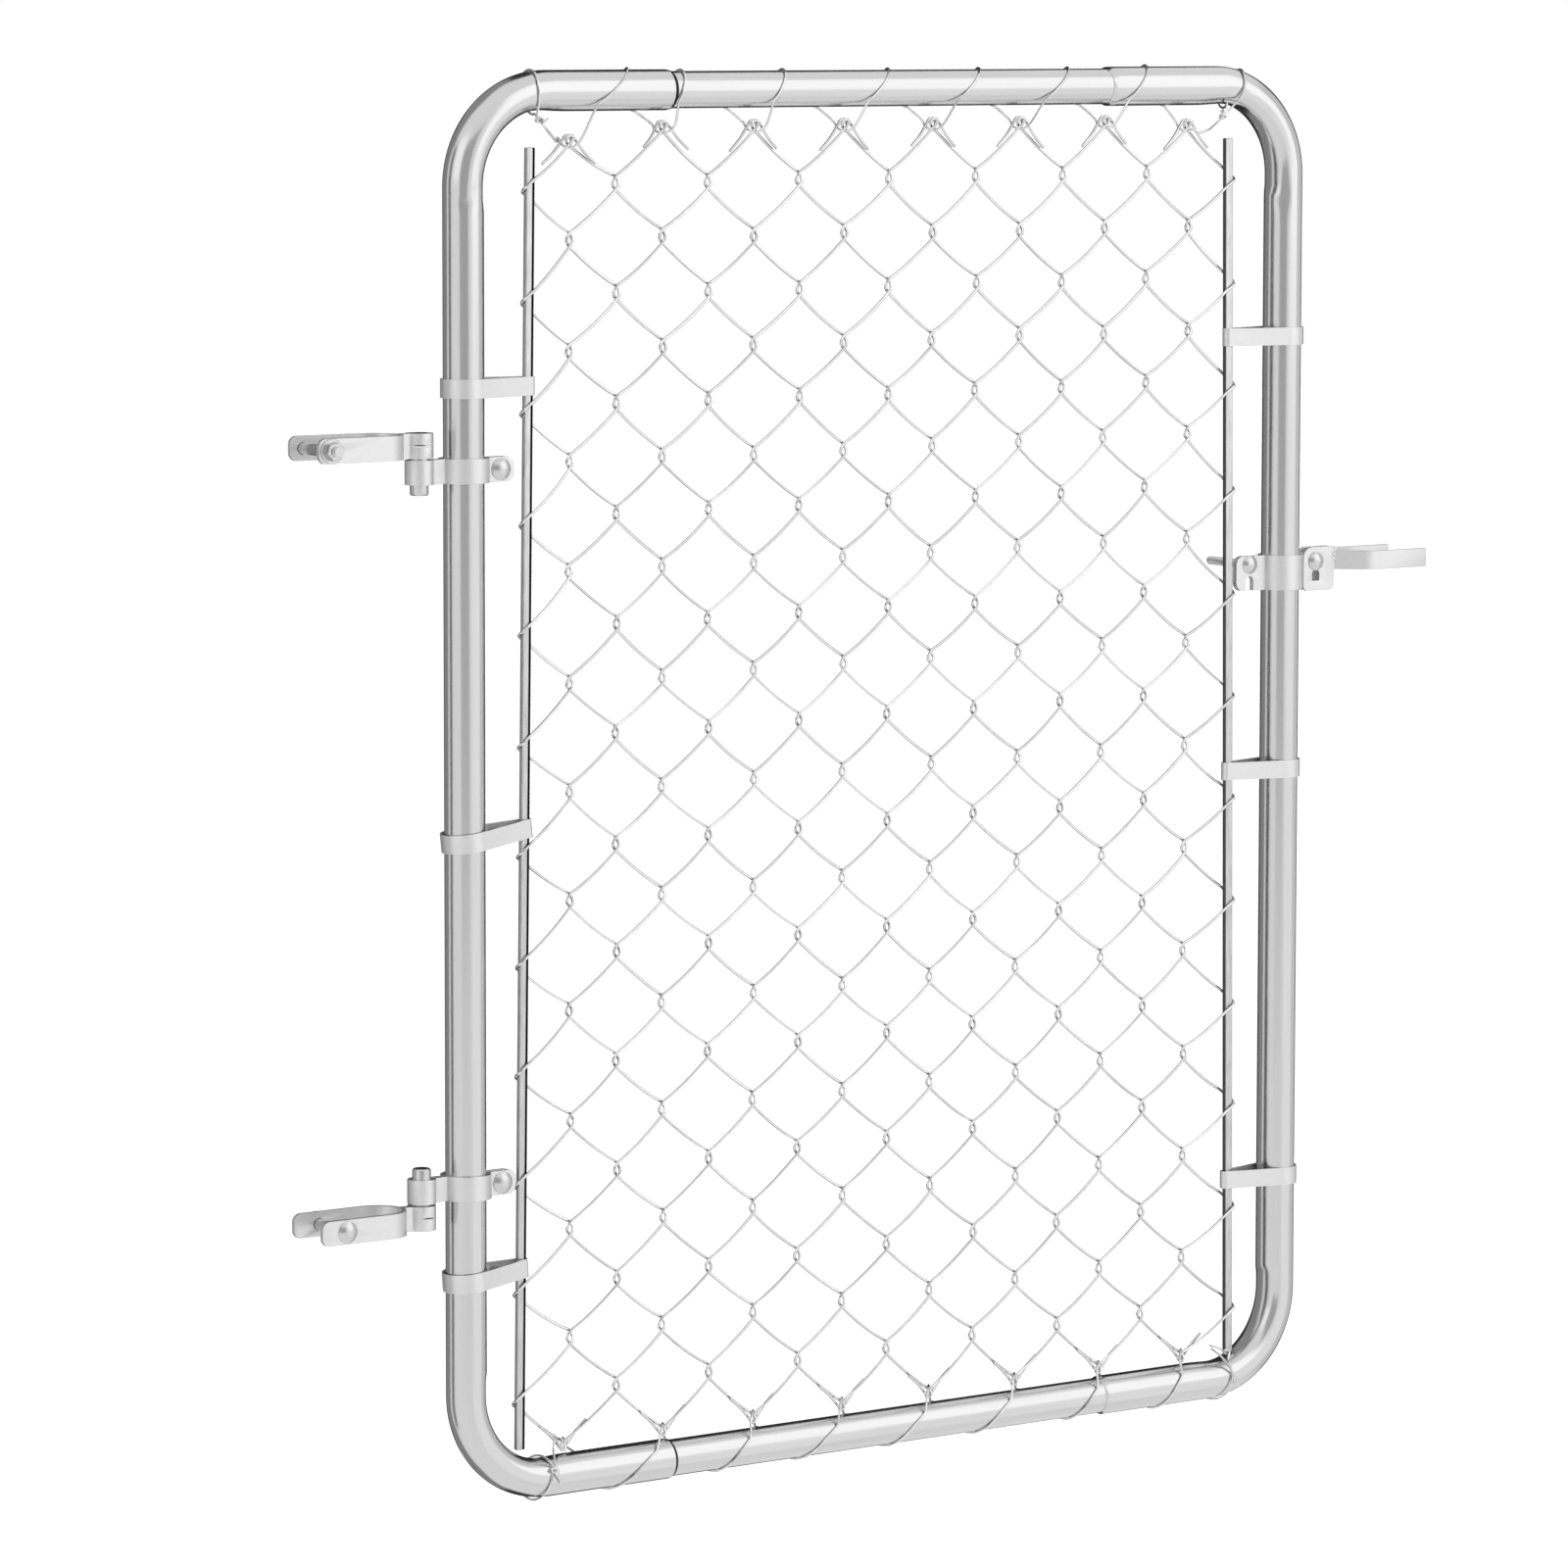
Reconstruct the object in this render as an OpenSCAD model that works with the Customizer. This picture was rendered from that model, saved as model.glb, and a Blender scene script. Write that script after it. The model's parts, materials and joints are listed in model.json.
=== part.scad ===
// Chain link walk gate: bent tube frame, woven wire fabric held by tension bars and bands,
// laced to the rails, hung on two post hinges and closed by a fork latch.
// +X points from the hinges to the latch, +Y to the back of the gate, +Z up.
// The origin lies on the inner face of the lower post hinge's front leg.

/* [Frame] */
// Width of the leaf over its side tubes
leaf_w = 914.4; // [760:1:1220]
// Height of the leaf
leaf_h = 1219.2; // [1100:1:1525]
// Outside diameter of the bent side tubes
tube_d = 34.9; // [32:0.1:38]
// Wall of the tubes and rails
tube_wall = 1.5; // [1.2:0.1:2.5]
// Bend radius at the corners, to the tube's centreline
bend_r = 80; // [70:1:100]
// From a side tube's centreline to the end of its arms
arm_reach = 203; // [150:1:260]
// Length of rail pushed into each arm
rail_insert = 50; // [20:1:60]

/* [Tension bars] */
// Width of a tension bar, across the gate
bar_w = 7.6; // [6:0.1:10]
// Thickness of a tension bar
bar_t = 5; // [4:0.1:6]
// From a side tube's centreline to the middle of its bar
bar_offset = 59.6; // [57:0.1:66]
// Lean of the hinge side bar, in degrees
left_bar_lean = 0.67; // [0:0.01:0.8]
// Lean of the latch side bar, in degrees
right_bar_lean = 0.3; // [0:0.01:0.8]
// Gap from the frame's top edge to the top of a bar
bar_top_gap = 65; // [55:1:90]
// Gap from the bottom bend to the end of a bar
bar_foot_gap = 1; // [0.5:0.1:6]

/* [Tension bands] */
// Height of a band
band_h = 16; // [12:0.5:20]
// Thickness of a band
band_t = 2; // [1.5:0.1:2.6]
// Diameter of a band's bolt
band_bolt_d = 6; // [5:0.1:8]

/* [Fabric] */
// Diameter of the fabric wire
wire_d = 2.5; // [2:0.1:2.6]
// Width of one mesh, which is rounded so that whole meshes fit
mesh_w = 95; // [80:1:110]
// Height of one mesh, which is rounded so that whole meshes fit
mesh_h = 94; // [80:1:110]
// Length of the cut ends at the top and bottom peaks
tail_len = 30; // [15:1:34]
// Diameter of the lacing wire
tie_d = 2; // [1.6:0.1:2.4]

/* [Hinges] */
// Diameter of a hinge pin
pin_d = 15.9; // [12:0.1:18]
// Thickness of the hinge straps
strap_t = 4.2; // [3:0.1:5]
// Height of the hinge straps
strap_h = 21; // [18:0.5:26]
// From the side tube's centreline to the pin's
pin_offset = 44; // [42:0.5:54]
// Diameter of the post that the post hinges clamp
post_d = 42; // [38:0.1:48]
// From the pin's centreline to the post's
post_offset = 44.5; // [43:0.5:56]
// Reach of a post hinge's legs, from the pin's centreline
leg_reach = 112; // [106:1:130]
// Upper post bolt, from the pin's centreline
upper_post_bolt_x = 100; // [92:1:101]
// Lower post bolt, from the pin's centreline
lower_post_bolt_x = 88; // [78:1:98]
// Reach of a frame hinge's ears, from the tube's centreline
ear_reach = 47; // [45:0.5:48]
// Frame hinge bolt, from the tube's centreline
ear_bolt_x = 34; // [33:0.5:35]
// Middle of the upper frame hinge, below the frame's top edge
upper_hinge_drop = 334.5; // [320:0.5:350]
// Middle of the lower frame hinge, below the frame's top edge
lower_hinge_drop = 942; // [925:0.5:948]
// Gap between a frame hinge and its post hinge
hinge_gap = 1.5; // [0.6:0.1:3]
// Diameter of the hinge bolts
bolt_d = 9.5; // [8:0.1:10]

/* [Fork latch] */
// Middle of the collar, below the frame's top edge
latch_drop = 461; // [455:0.5:462]
// Height of the collar
collar_h = 31.7; // [28:0.1:32]
// Thickness of the collar and of the fork's plates
collar_t = 2.8; // [2:0.1:3.2]
// From the side tube's centreline to each latch bolt
latch_bolt_x = 37.5; // [37:0.5:44]
// Reach of the fork's tips, from the tube's centreline
fork_reach = 150; // [130:1:180]
// Clear gap between the fork's prongs
fork_gap = 50; // [46:1:60]
// Height of a prong
prong_h = 17; // [13:0.5:20]
// Thickness of a prong
prong_t = 4; // [3:0.1:5]
// Diameter of the latch bolts
latch_bolt_d = 7.9; // [6:0.1:8.5]

/* [Hidden] */
$fn = 48;

// Clearances
slip_gap = 0.05;
seat_gap = 0.15;
run_gap = 0.08;
lay_gap = 0.3;
hole_gap = 0.3;
thread_gap = 0.1;
seam = 0.4;
cut = 1;

// Frame places, from the hinge side tube's centreline and the frame's bottom edge
tube_r = tube_d / 2;
rail_r = tube_r - tube_wall - slip_gap;
span = leaf_w - tube_d;
top_z = leaf_h - tube_r;
bottom_z = tube_r;
pin_x = -pin_offset;
post_x = pin_x - post_offset;
post_r = post_d / 2 + seat_gap;
upper_frame_z = leaf_h - upper_hinge_drop;
lower_frame_z = leaf_h - lower_hinge_drop;
upper_post_z = upper_frame_z + strap_h + hinge_gap;
lower_post_z = lower_frame_z - strap_h - hinge_gap;
origin_lead = 12;
origin = [post_x - origin_lead, -post_r, lower_post_z];

// Tension bars
bar_top_z = leaf_h - bar_top_gap;
inner_bend_r = bend_r - tube_r;
bar_foot_z = bottom_z + bend_r + bar_foot_gap
    - sqrt(pow(inner_bend_r, 2) - pow(bend_r - bar_offset + bar_w + bar_lean_room(), 2));
bar_mid_z = (bar_top_z + bar_foot_z) / 2;
function bar_lean_room() = (leaf_h / 2) * tan(left_bar_lean);
function left_bar_x(z) = bar_offset + (z - bar_mid_z) * tan(left_bar_lean);
function right_bar_x(z) = span - bar_offset - (z - bar_mid_z) * tan(right_bar_lean);

// Tension bands: place below the frame's top edge, and tilt towards the bar in degrees
left_bands = [[265.5, 0], [647.5, 6], [1022.5, 4]];
right_bands = [[245, 0], [641, 0], [1018, 0]];
band_wrap_r = bar_t / 2 + lay_gap;

// Fabric: columns of twists between the bars, rows of peaks between the rails
fabric_top_gap = 13.1;
fabric_foot_gap = 7.1;
fabric_top_z = leaf_h - tube_d - fabric_top_gap;
fabric_foot_z = tube_d + fabric_foot_gap;
weave_shift = 1.8;
spirals = 2 * round((span - 2 * bar_offset) / mesh_w);
rows = round((fabric_top_z - fabric_foot_z) / mesh_h);
column_w = (span - 2 * bar_offset) / spirals;
row_h = (fabric_top_z - fabric_foot_z) / rows;
half_turns = 2 * rows;
slope = row_h / 2 / column_w;
eye_w = 4;
turn_w = 2.2;
strand_y = wire_d / 2 + 0.15;
hook_y = bar_t / 2 + wire_d / 2 + 0.6;
hook_corner = 1.9;
hook_drop = 4;
wire_sides = 5;
tie_sides = 4;
function column_x(j) = bar_offset - weave_shift + j * column_w;

// Lacing: how far past each peak the wire crosses the rail, and how far on it comes out again
top_leads = [59, 18, 29, 46, 49, 52, 44];
top_slant = 21;
foot_leads = [36, 52, 44, 45, 45, 56, 60];
foot_slant = 16;
lace_y = 5.5;
lace_drop = 11;
lace_side = 2;
ring_x = 72;
stand_off = 28;

// Hinges
pin_r = pin_d / 2;
wrap_r = pin_r + run_gap + strap_t;
pin_proud = 9;
pin_chamfer = 1.2;
ear_gap = 1.6;
stake_w = 12;
stake_h = 1.8;
stake_deep = 1;
head_r = 9.5;
head_h = 4.2;
nut_h = 8;
nut_r = 8.2;
washer_r = 10.5;
washer_t = 1.8;
frame_bolt_len = 30;
post_bolt_len = 80;

// Fork latch
collar_z = leaf_h - latch_drop;
latch_lift = 8;
latch_z = collar_z + latch_lift;
collar_r = tube_r + seat_gap;
left_lug = 53;
right_lug = 51;
lug_corner = 8;
latch_head_r = 8.5;
latch_head_h = 4;
latch_nut_h = 6.5;
latch_nut_r = 6.9;
latch_bolt_len = 60;
notch_w = 8.5;
notch_drop = 12;
plate_near = 14.5;
plate_far = 21.5;
plate_up = 13;
plate_down = 27;
plate_corner = 10;
flare_x = 85;

// Vector helpers
function unit(v) = v / norm(v);
function flat(lists) = [for (list = lists) for (item = list) item];
function heading(p, i) = let (last = len(p) - 1)
    i == 0 ? unit(p[1] - p[0])
    : i == last ? unit(p[last] - p[last - 1])
    : unit(unit(p[i] - p[i - 1]) + unit(p[i + 1] - p[i]));
function square_to(v, t) = unit(v - t * (v * t));
function sides_along(p) = [
    for (i = 0, u = square_to([0.31, 0.87, 0.39], heading(p, 0));
        i < len(p);
        i = i + 1, u = i < len(p) ? square_to(u, heading(p, i)) : u) u
];

// A wire of few sides that follows a path of points
module wire(path, d, sides) {
    u = sides_along(path);
    rings = flat([
        for (i = [0 : len(path) - 1])
            let (v = cross(heading(path, i), u[i]))
            [for (k = [0 : sides - 1]) path[i] + d / 2 * (cos(360 * k / sides) * u[i] + sin(360 * k / sides) * v)]
    ]);
    walls = flat([
        for (i = [0 : len(path) - 2])
            [for (k = [0 : sides - 1])
                let (a = i * sides + k, b = i * sides + (k + 1) % sides)
                [a, a + sides, b + sides, b]]
    ]);
    start = [for (k = [0 : sides - 1]) k];
    end = [for (k = [0 : sides - 1]) len(rings) - 1 - k];
    polyhedron(points = rings, faces = concat(walls, [start, end]));
}

// Moves a piece from the frame's places to the origin
module place() {
    translate(-origin) children();
}

// Lays a shape drawn in X and Z upright, from y back by its thickness
module upright(y, t) {
    translate([0, y + t, 0]) rotate([90, 0, 0]) linear_extrude(t) children();
}

// A round bar along Y, from y back by its length
module rod_y(r, y, len) {
    translate([0, y + len, 0]) rotate([90, 0, 0]) cylinder(r = r, h = len);
}

// The bent run of one side tube, as a solid bar of diameter d
module bent_run(d) {
    translate([0, 0, bottom_z + bend_r]) cylinder(d = d, h = top_z - bottom_z - 2 * bend_r);
    for (z = [bottom_z, top_z]) {
        translate([bend_r, 0, z]) rotate([0, 90, 0]) cylinder(d = d, h = arm_reach - bend_r);
    }
    translate([bend_r, 0, bottom_z + bend_r]) rotate([90, 0, 0])
        rotate([0, 0, 180]) rotate_extrude(angle = 90) translate([bend_r, 0]) circle(d = d);
    translate([bend_r, 0, top_z - bend_r]) rotate([90, 0, 0])
        rotate([0, 0, 90]) rotate_extrude(angle = 90) translate([bend_r, 0]) circle(d = d);
}

module side_tube() {
    difference() {
        bent_run(tube_d);
        bent_run(tube_d - 2 * tube_wall);
        for (z = [bottom_z, top_z]) {
            translate([arm_reach - cut, 0, z]) rotate([0, 90, 0])
                cylinder(d = tube_d - 2 * tube_wall, h = 2 * cut);
        }
    }
}

module left_side_tube() {
    color("lightgray") place() side_tube();
}

module right_side_tube() {
    color("lightgray") place() translate([span, 0, 0]) mirror([1, 0, 0]) side_tube();
}

// A straight rail whose ends slip into the arms of the side tubes
module rail(z) {
    start = arm_reach - rail_insert;
    length = span - 2 * start;
    translate([start, 0, z]) rotate([0, 90, 0]) difference() {
        cylinder(r = rail_r, h = length);
        translate([0, 0, -cut]) cylinder(r = rail_r - tube_wall, h = length + 2 * cut);
    }
}

module top_rail() {
    color("silver") place() rail(top_z);
}

module bottom_rail() {
    color("silver") place() rail(bottom_z);
}

// A flat bar with round edges, leaning about its middle
module tension_bar(x, lean) {
    length = bar_top_z - bar_foot_z;
    translate([x, 0, bar_mid_z]) rotate([0, lean, 0]) translate([0, 0, -length / 2])
        linear_extrude(length) {
            square([bar_w - bar_t, bar_t], center = true);
            for (side = [-1, 1]) {
                translate([side * (bar_w - bar_t) / 2, 0]) circle(d = bar_t);
            }
        }
}

module left_tension_bar() {
    color("gainsboro") place() tension_bar(bar_offset, left_bar_lean);
}

module right_tension_bar() {
    color("gainsboro") place() tension_bar(span - bar_offset, -right_bar_lean);
}

// A belt round two pegs of height h, the first at the origin; its legs lie a hair inside them
module belt(r1, r2, reach, h) {
    tilt = asin((r1 - r2) / reach);
    leg1 = r1 - slip_gap;
    leg2 = r2 - slip_gap;
    union() {
        cylinder(r = r1, h = h);
        translate([reach, 0, 0]) cylinder(r = r2, h = h);
        linear_extrude(h) polygon([
            [leg1 * sin(tilt), leg1 * cos(tilt)],
            [reach + leg2 * sin(tilt), leg2 * cos(tilt)],
            [reach + leg2 * sin(tilt), -leg2 * cos(tilt)],
            [leg1 * sin(tilt), -leg1 * cos(tilt)]
        ]);
    }
}

// A band's ring and its end round the bar open a little when it tilts
function band_room(tilt) = band_h / 2 * tan(tilt);
function band_ring_r(tilt) = tube_r + lay_gap + band_room(tilt);
function band_lean(reach, tilt) = asin((band_ring_r(tilt) - band_wrap_r) / reach);
band_bolt_x = (tube_r + bar_offset) / 2 - 2;

// The place of a band's bolt: on the inner face of the back leg and square to it
module at_band_bolt(reach, tilt) {
    lean = band_lean(reach, tilt);
    leg_y = (band_ring_r(tilt) - slip_gap) / cos(lean) - band_bolt_x * tan(lean);
    translate([band_bolt_x, leg_y, 0]) rotate([0, 0, -lean]) children();
}

// A strap round the tube and the bar; its back leg has a hole for the bolt
module band(reach, tilt) {
    ring_r = band_ring_r(tilt);
    difference() {
        translate([0, 0, -band_h / 2]) belt(ring_r + band_t, band_wrap_r + band_t, reach, band_h);
        translate([0, 0, -band_h / 2 - cut]) belt(ring_r, band_wrap_r, reach, band_h + 2 * cut);
        at_band_bolt(reach, tilt) rod_y(band_bolt_d / 2 + hole_gap, -cut, band_t + 2 * cut);
    }
}

// The bolt that closes a band: its head inside the loop, its nut behind
module band_bolt(reach, tilt) {
    head = 0.6 * band_bolt_d;
    at_band_bolt(reach, tilt) {
        rod_y(band_bolt_d / 2, -head, band_t + 2.2 * band_bolt_d);
        rod_y(0.8 * band_bolt_d, -head - seat_gap, head);
        translate([0, band_t + seat_gap, 0]) nut(band_bolt_d / 2, band_bolt_d, 0.8 * band_bolt_d);
    }
}

// The place of a band on the hinge side tube and on the latch side tube
module at_left_band(i) {
    place() translate([0, 0, leaf_h - left_bands[i][0]]) rotate([0, -left_bands[i][1], 0]) children();
}

module at_right_band(i) {
    place() translate([span, 0, leaf_h - right_bands[i][0]]) mirror([1, 0, 0])
        rotate([0, -right_bands[i][1], 0]) children();
}

// From the tube's centreline to the middle of the bar's far round edge, along a band
function band_reach(bar_x, tilt) = bar_x / cos(tilt) + (bar_w - bar_t) / 2 + band_room(tilt);
function left_reach(i) = let (z = leaf_h - left_bands[i][0] + bar_offset * tan(left_bands[i][1]))
    band_reach(left_bar_x(z), left_bands[i][1]);
function right_reach(i) = band_reach(span - right_bar_x(leaf_h - right_bands[i][0]), right_bands[i][1]);

module left_band(i) {
    color("darkgray") at_left_band(i) band(left_reach(i), left_bands[i][1]);
}

module right_band(i) {
    color("darkgray") at_right_band(i) band(right_reach(i), right_bands[i][1]);
}

module left_band_bolts() {
    color("dimgray") {
        for (i = [0 : 2]) {
            at_left_band(i) band_bolt(left_reach(i), left_bands[i][1]);
        }
    }
}

module right_band_bolts() {
    color("dimgray") {
        for (i = [0 : 2]) {
            at_right_band(i) band_bolt(right_reach(i), right_bands[i][1]);
        }
    }
}

// One twist between neighbours: s is 1 at a spiral's right hand column and -1 at its left
function twist(x, z, s) = [
    [x + s * (eye_w - turn_w), s * strand_y, z + turn_w * slope],
    [x + s * eye_w, 0, z],
    [x + s * (eye_w - turn_w), -s * strand_y, z - turn_w * slope]
];

// One turn round a tension bar, in front of it, past its outer edge and back behind it
function hook(bar_x, z, s) = let (
    out = bar_w / 2 + hook_corner,
    near = bar_w / 2 + hook_corner - 1.5
) [
    [bar_x + s * near, s * hook_y, z + 2.3],
    [bar_x + s * out, s * (hook_y - hook_corner), z + 1.3],
    [bar_x + s * out, -s * (hook_y - hook_corner), z - 1.3],
    [bar_x + s * near, -s * hook_y, z - 2.3]
];

// A cut end that knuckles over its neighbour and runs back; up is 1 at the top, -1 at the foot
function tail(x, z, s, up) = let (run = tail_len * cos(atan(slope)) - 1.8) [
    [x - s * (1.8 + run), s * up * strand_y, z + up * (3.5 - run * slope)],
    [x - s * 4, s * up * 2.4, z + up * 3.6],
    [x + s * 1.6, s * up * 1.8, z + up * 2.8]
];

// The path of one spiral, from its top end to its foot
function spiral(i) = flat([
    for (m = [0 : half_turns])
        let (
            s = (m % 2 == 0) == (i % 2 == 0) ? 1 : -1,
            j = s > 0 ? i + 1 : i,
            x = column_x(j),
            z = fabric_top_z - m * row_h / 2,
            hook_z = z - hook_drop
        )
        m == 0 ? concat(tail(x, z, s, 1), [twist(x, z, s)[1], twist(x, z, s)[2]])
        : m == half_turns
            ? concat([twist(x, z, s)[0], twist(x, z, s)[1]], [for (k = [2 : -1 : 0]) tail(x, z, s, -1)[k]])
        : j == 0 ? hook(left_bar_x(hook_z), hook_z, s)
        : j == spirals ? hook(right_bar_x(hook_z), hook_z, s)
        : twist(x, z, s)
]);

// The woven fabric: every spiral hangs in its neighbours without touching them
module chain_link_fabric() {
    color("whitesmoke") place() {
        for (i = [0 : spirals - 1]) {
            wire(spiral(i), wire_d, wire_sides);
        }
    }
}

// Radius at which the lacing lies on the rail or on the arms
function lay_r(x) = (x > arm_reach + 2 * tie_d && x < span - arm_reach - 2 * tie_d ? rail_r : tube_r)
    + tie_d / 2 + lay_gap;

// A point on the lacing round a rail, stood off so that the straight stretches between points clear it;
// the angle counts from the front over the top
function round_rail(x, z, angle) = let (r = lay_r(x) / cos(stand_off))
    [x, -r * cos(angle), z + r * sin(angle)];

// The ring that starts or ends a lacing
function ring(x, z, first, last) = let (step = (last - first) / 8)
    [for (k = [0 : 8]) round_rail(x + 0.35 * tie_d * k, z, first + step * k)];

// Where the lacing passes from back to front under a peak; up is 1 at the top rail
function peak_pass(x, z, up) = [
    [x - lace_side, lace_y, z - up * (lace_drop - 2)],
    [x, 0, z - up * lace_drop],
    [x + lace_side, -lace_y, z - up * (lace_drop - 2)]
];

function peak_x(k) = column_x(2 * k + 1);
peaks = spirals / 2;
function lead(leads, k) = leads[k % len(leads)];

// The stretch that goes up in front, over the top rail and down behind it
function top_stretch(k) = let (over = peak_x(k) + lead(top_leads, k), under = over + top_slant) [
    round_rail(over - 10, top_z, -10),
    round_rail(over - 4, top_z, 45),
    round_rail(over, top_z, 90),
    round_rail(over + 4, top_z, 135),
    round_rail((over + under) / 2 + 2, top_z, 185),
    round_rail(under - 2, top_z, 235),
    round_rail(under + 2, top_z, 256)
];

// The stretch that goes down behind the bottom rail and comes up in front of it
function foot_stretch(k) = let (under = peak_x(k) + lead(foot_leads, k), back = under - foot_slant) [
    round_rail(back, bottom_z, 130),
    round_rail(back + 5, bottom_z, 180),
    round_rail(under - 4, bottom_z, 225),
    round_rail(under, bottom_z, 270),
    round_rail(under + 5, bottom_z, 315),
    round_rail(under + 10, bottom_z, 360),
    round_rail(under + 16, bottom_z, 400)
];

module top_tie_wire() {
    path = concat(
        ring(ring_x, top_z, -80, 250),
        flat([
            for (k = [0 : peaks - 2]) concat(peak_pass(peak_x(k), fabric_top_z, 1), top_stretch(k))
        ]),
        peak_pass(peak_x(peaks - 1), fabric_top_z, 1),
        ring(span - ring_x, top_z, -60, 250)
    );
    color("whitesmoke") place() wire(path, tie_d, tie_sides);
}

// From behind a foot peak the lacing goes down behind the rail and rises in front to the next
module bottom_tie_wire() {
    front_to_back = [2, 1, 0];
    path = concat(
        ring(ring_x, bottom_z, 100, 400),
        flat([
            for (k = [0 : peaks - 2])
                concat([for (n = front_to_back) mirror_pass(k)[n]], foot_stretch(k))
        ]),
        [for (n = front_to_back) mirror_pass(peaks - 1)[n]],
        ring(span - ring_x, bottom_z, 130, 430)
    );
    color("whitesmoke") place() wire(path, tie_d, tie_sides);
}

function mirror_pass(k) = [
    for (p = peak_pass(peak_x(k), fabric_foot_z, -1)) [2 * peak_x(k) - p[0], p[1], p[2]]
];

// A strap folded round the pin, pinched at a neck and opened round a tube at a distance along X
module hinge_outline(bore_r, reach, round_r) {
    difference() {
        union() {
            circle(r = wrap_r);
            translate([reach, 0]) circle(r = round_r + strap_t);
            translate([0, -strap_t - seam / 2]) square([reach, 2 * strap_t + seam]);
            children();
        }
        circle(r = bore_r);
        translate([reach, 0]) circle(r = round_r);
        translate([0, -seam / 2]) square([reach, seam]);
    }
}

// The strap on the gate frame, drawn from the pin's centreline
module frame_hinge(z) {
    tube_hole = tube_r + seat_gap;
    tip = pin_offset + ear_reach;
    translate([pin_x, 0, z]) difference() {
        translate([0, 0, -strap_h / 2]) linear_extrude(strap_h) difference() {
            hinge_outline(pin_r + run_gap, pin_offset, tube_hole) {
                translate([pin_offset, -strap_t - ear_gap / 2])
                    square([ear_reach, 2 * strap_t + ear_gap]);
            }
            translate([pin_offset, -ear_gap / 2]) square([ear_reach + cut, ear_gap]);
        }
        translate([pin_offset + ear_bolt_x, 0, 0]) rod_y(bolt_d / 2 + hole_gap, -tube_d, 2 * tube_d);
        ear_corners(tip, strap_h);
    }
}

// Rounds the end of an ear that reaches to x = tip
module ear_corners(tip, h) {
    corner = h / 3;
    for (side = [-1, 1]) {
        upright(-tube_d, 2 * tube_d) difference() {
            translate([tip - corner, side > 0 ? h / 2 - corner : -h / 2 - cut]) square([corner + cut, corner + cut]);
            translate([tip - corner, side * (h / 2 - corner)]) circle(r = corner);
        }
    }
}

// The strap on the post: a loop round the pin, a neck and a U with two straight legs
module post_hinge(z, bolt_x) {
    leg_y = post_r;
    translate([pin_x, 0, z]) rotate([0, 0, 180]) difference() {
        translate([0, 0, -strap_h / 2]) linear_extrude(strap_h) difference() {
            hinge_outline(pin_r + slip_gap, post_offset, post_r) {
                translate([post_offset, -leg_y - strap_t])
                    square([leg_reach - post_offset, 2 * (leg_y + strap_t)]);
            }
            translate([post_offset, -leg_y]) square([leg_reach, 2 * leg_y]);
        }
        translate([bolt_x, 0, 0]) rod_y(bolt_d / 2 + hole_gap, -post_d, 2 * post_d);
        ear_corners(leg_reach, strap_h);
        stake_mark();
    }
}

// The lens shaped slit where the loop is staked to its pin, seen from the front
module stake_mark() {
    lens_r = (pow(stake_w / 2, 2) + pow(stake_h / 2, 2)) / stake_h;
    upright(wrap_r - stake_deep, 2 * stake_deep) intersection() {
        translate([0, lens_r - stake_h / 2]) circle(r = lens_r, $fn = 96);
        translate([0, stake_h / 2 - lens_r]) circle(r = lens_r, $fn = 96);
    }
}

// A pin that fills its post hinge and stands out past the frame hinge; up is the proud end's way
module hinge_pin(z, up) {
    length = 2 * strap_h + hinge_gap + pin_proud;
    translate([pin_x, 0, z - up * strap_h / 2]) mirror([0, 0, up > 0 ? 0 : 1]) {
        cylinder(r = pin_r, h = length - pin_chamfer);
        translate([0, 0, length - pin_chamfer]) cylinder(r1 = pin_r, r2 = pin_r - pin_chamfer, h = pin_chamfer);
    }
}

// A carriage bolt along Y, its domed head in front at the origin
module carriage_bolt(r, len, dome_r, dome_h) {
    ball = (pow(dome_r, 2) + pow(dome_h, 2)) / (2 * dome_h);
    rod_y(r, -dome_h / 2, len + dome_h / 2);
    intersection() {
        translate([0, ball - dome_h, 0]) sphere(r = ball);
        rod_y(dome_r, -dome_h, dome_h);
    }
}

// A hexagon nut along Y, starting at the origin
module nut(bolt_r, r, h) {
    translate([0, h, 0]) rotate([90, 0, 0]) difference() {
        cylinder(r = r, h = h, $fn = 6);
        translate([0, 0, -cut]) cylinder(r = bolt_r + thread_gap, h = h + 2 * cut);
    }
}

// A washer along Y, starting at the origin
module washer(bolt_r) {
    translate([0, washer_t, 0]) rotate([90, 0, 0]) difference() {
        cylinder(r = washer_r, h = washer_t);
        translate([0, 0, -cut]) cylinder(r = bolt_r + hole_gap, h = washer_t + 2 * cut);
    }
}

ear_face = strap_t + ear_gap / 2;
leg_face = post_r + strap_t;

module frame_bolt(z) {
    color("silver") place() translate([ear_bolt_x, -ear_face - slip_gap, z])
        carriage_bolt(bolt_d / 2, frame_bolt_len, head_r, head_h);
}

module frame_nut(z) {
    color("silver") place() translate([ear_bolt_x, ear_face + slip_gap, z]) nut(bolt_d / 2, nut_r, nut_h);
}

// The upper post bolt points to the front, the lower one to the back
module upper_post_bolt() {
    color("silver") place() translate([pin_x - upper_post_bolt_x, leg_face + slip_gap, upper_post_z])
        mirror([0, 1, 0]) carriage_bolt(bolt_d / 2, post_bolt_len, head_r, head_h);
}

module lower_post_bolt() {
    color("silver") place() translate([pin_x - lower_post_bolt_x, -leg_face - slip_gap, lower_post_z])
        carriage_bolt(bolt_d / 2, post_bolt_len, head_r, head_h);
}

module washer_and_nut() {
    washer(bolt_d / 2);
    translate([0, washer_t + slip_gap, 0]) nut(bolt_d / 2, nut_r, nut_h);
}

module upper_post_nut() {
    color("silver") place() translate([pin_x - upper_post_bolt_x, -leg_face - slip_gap, upper_post_z])
        mirror([0, 1, 0]) washer_and_nut();
}

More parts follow.
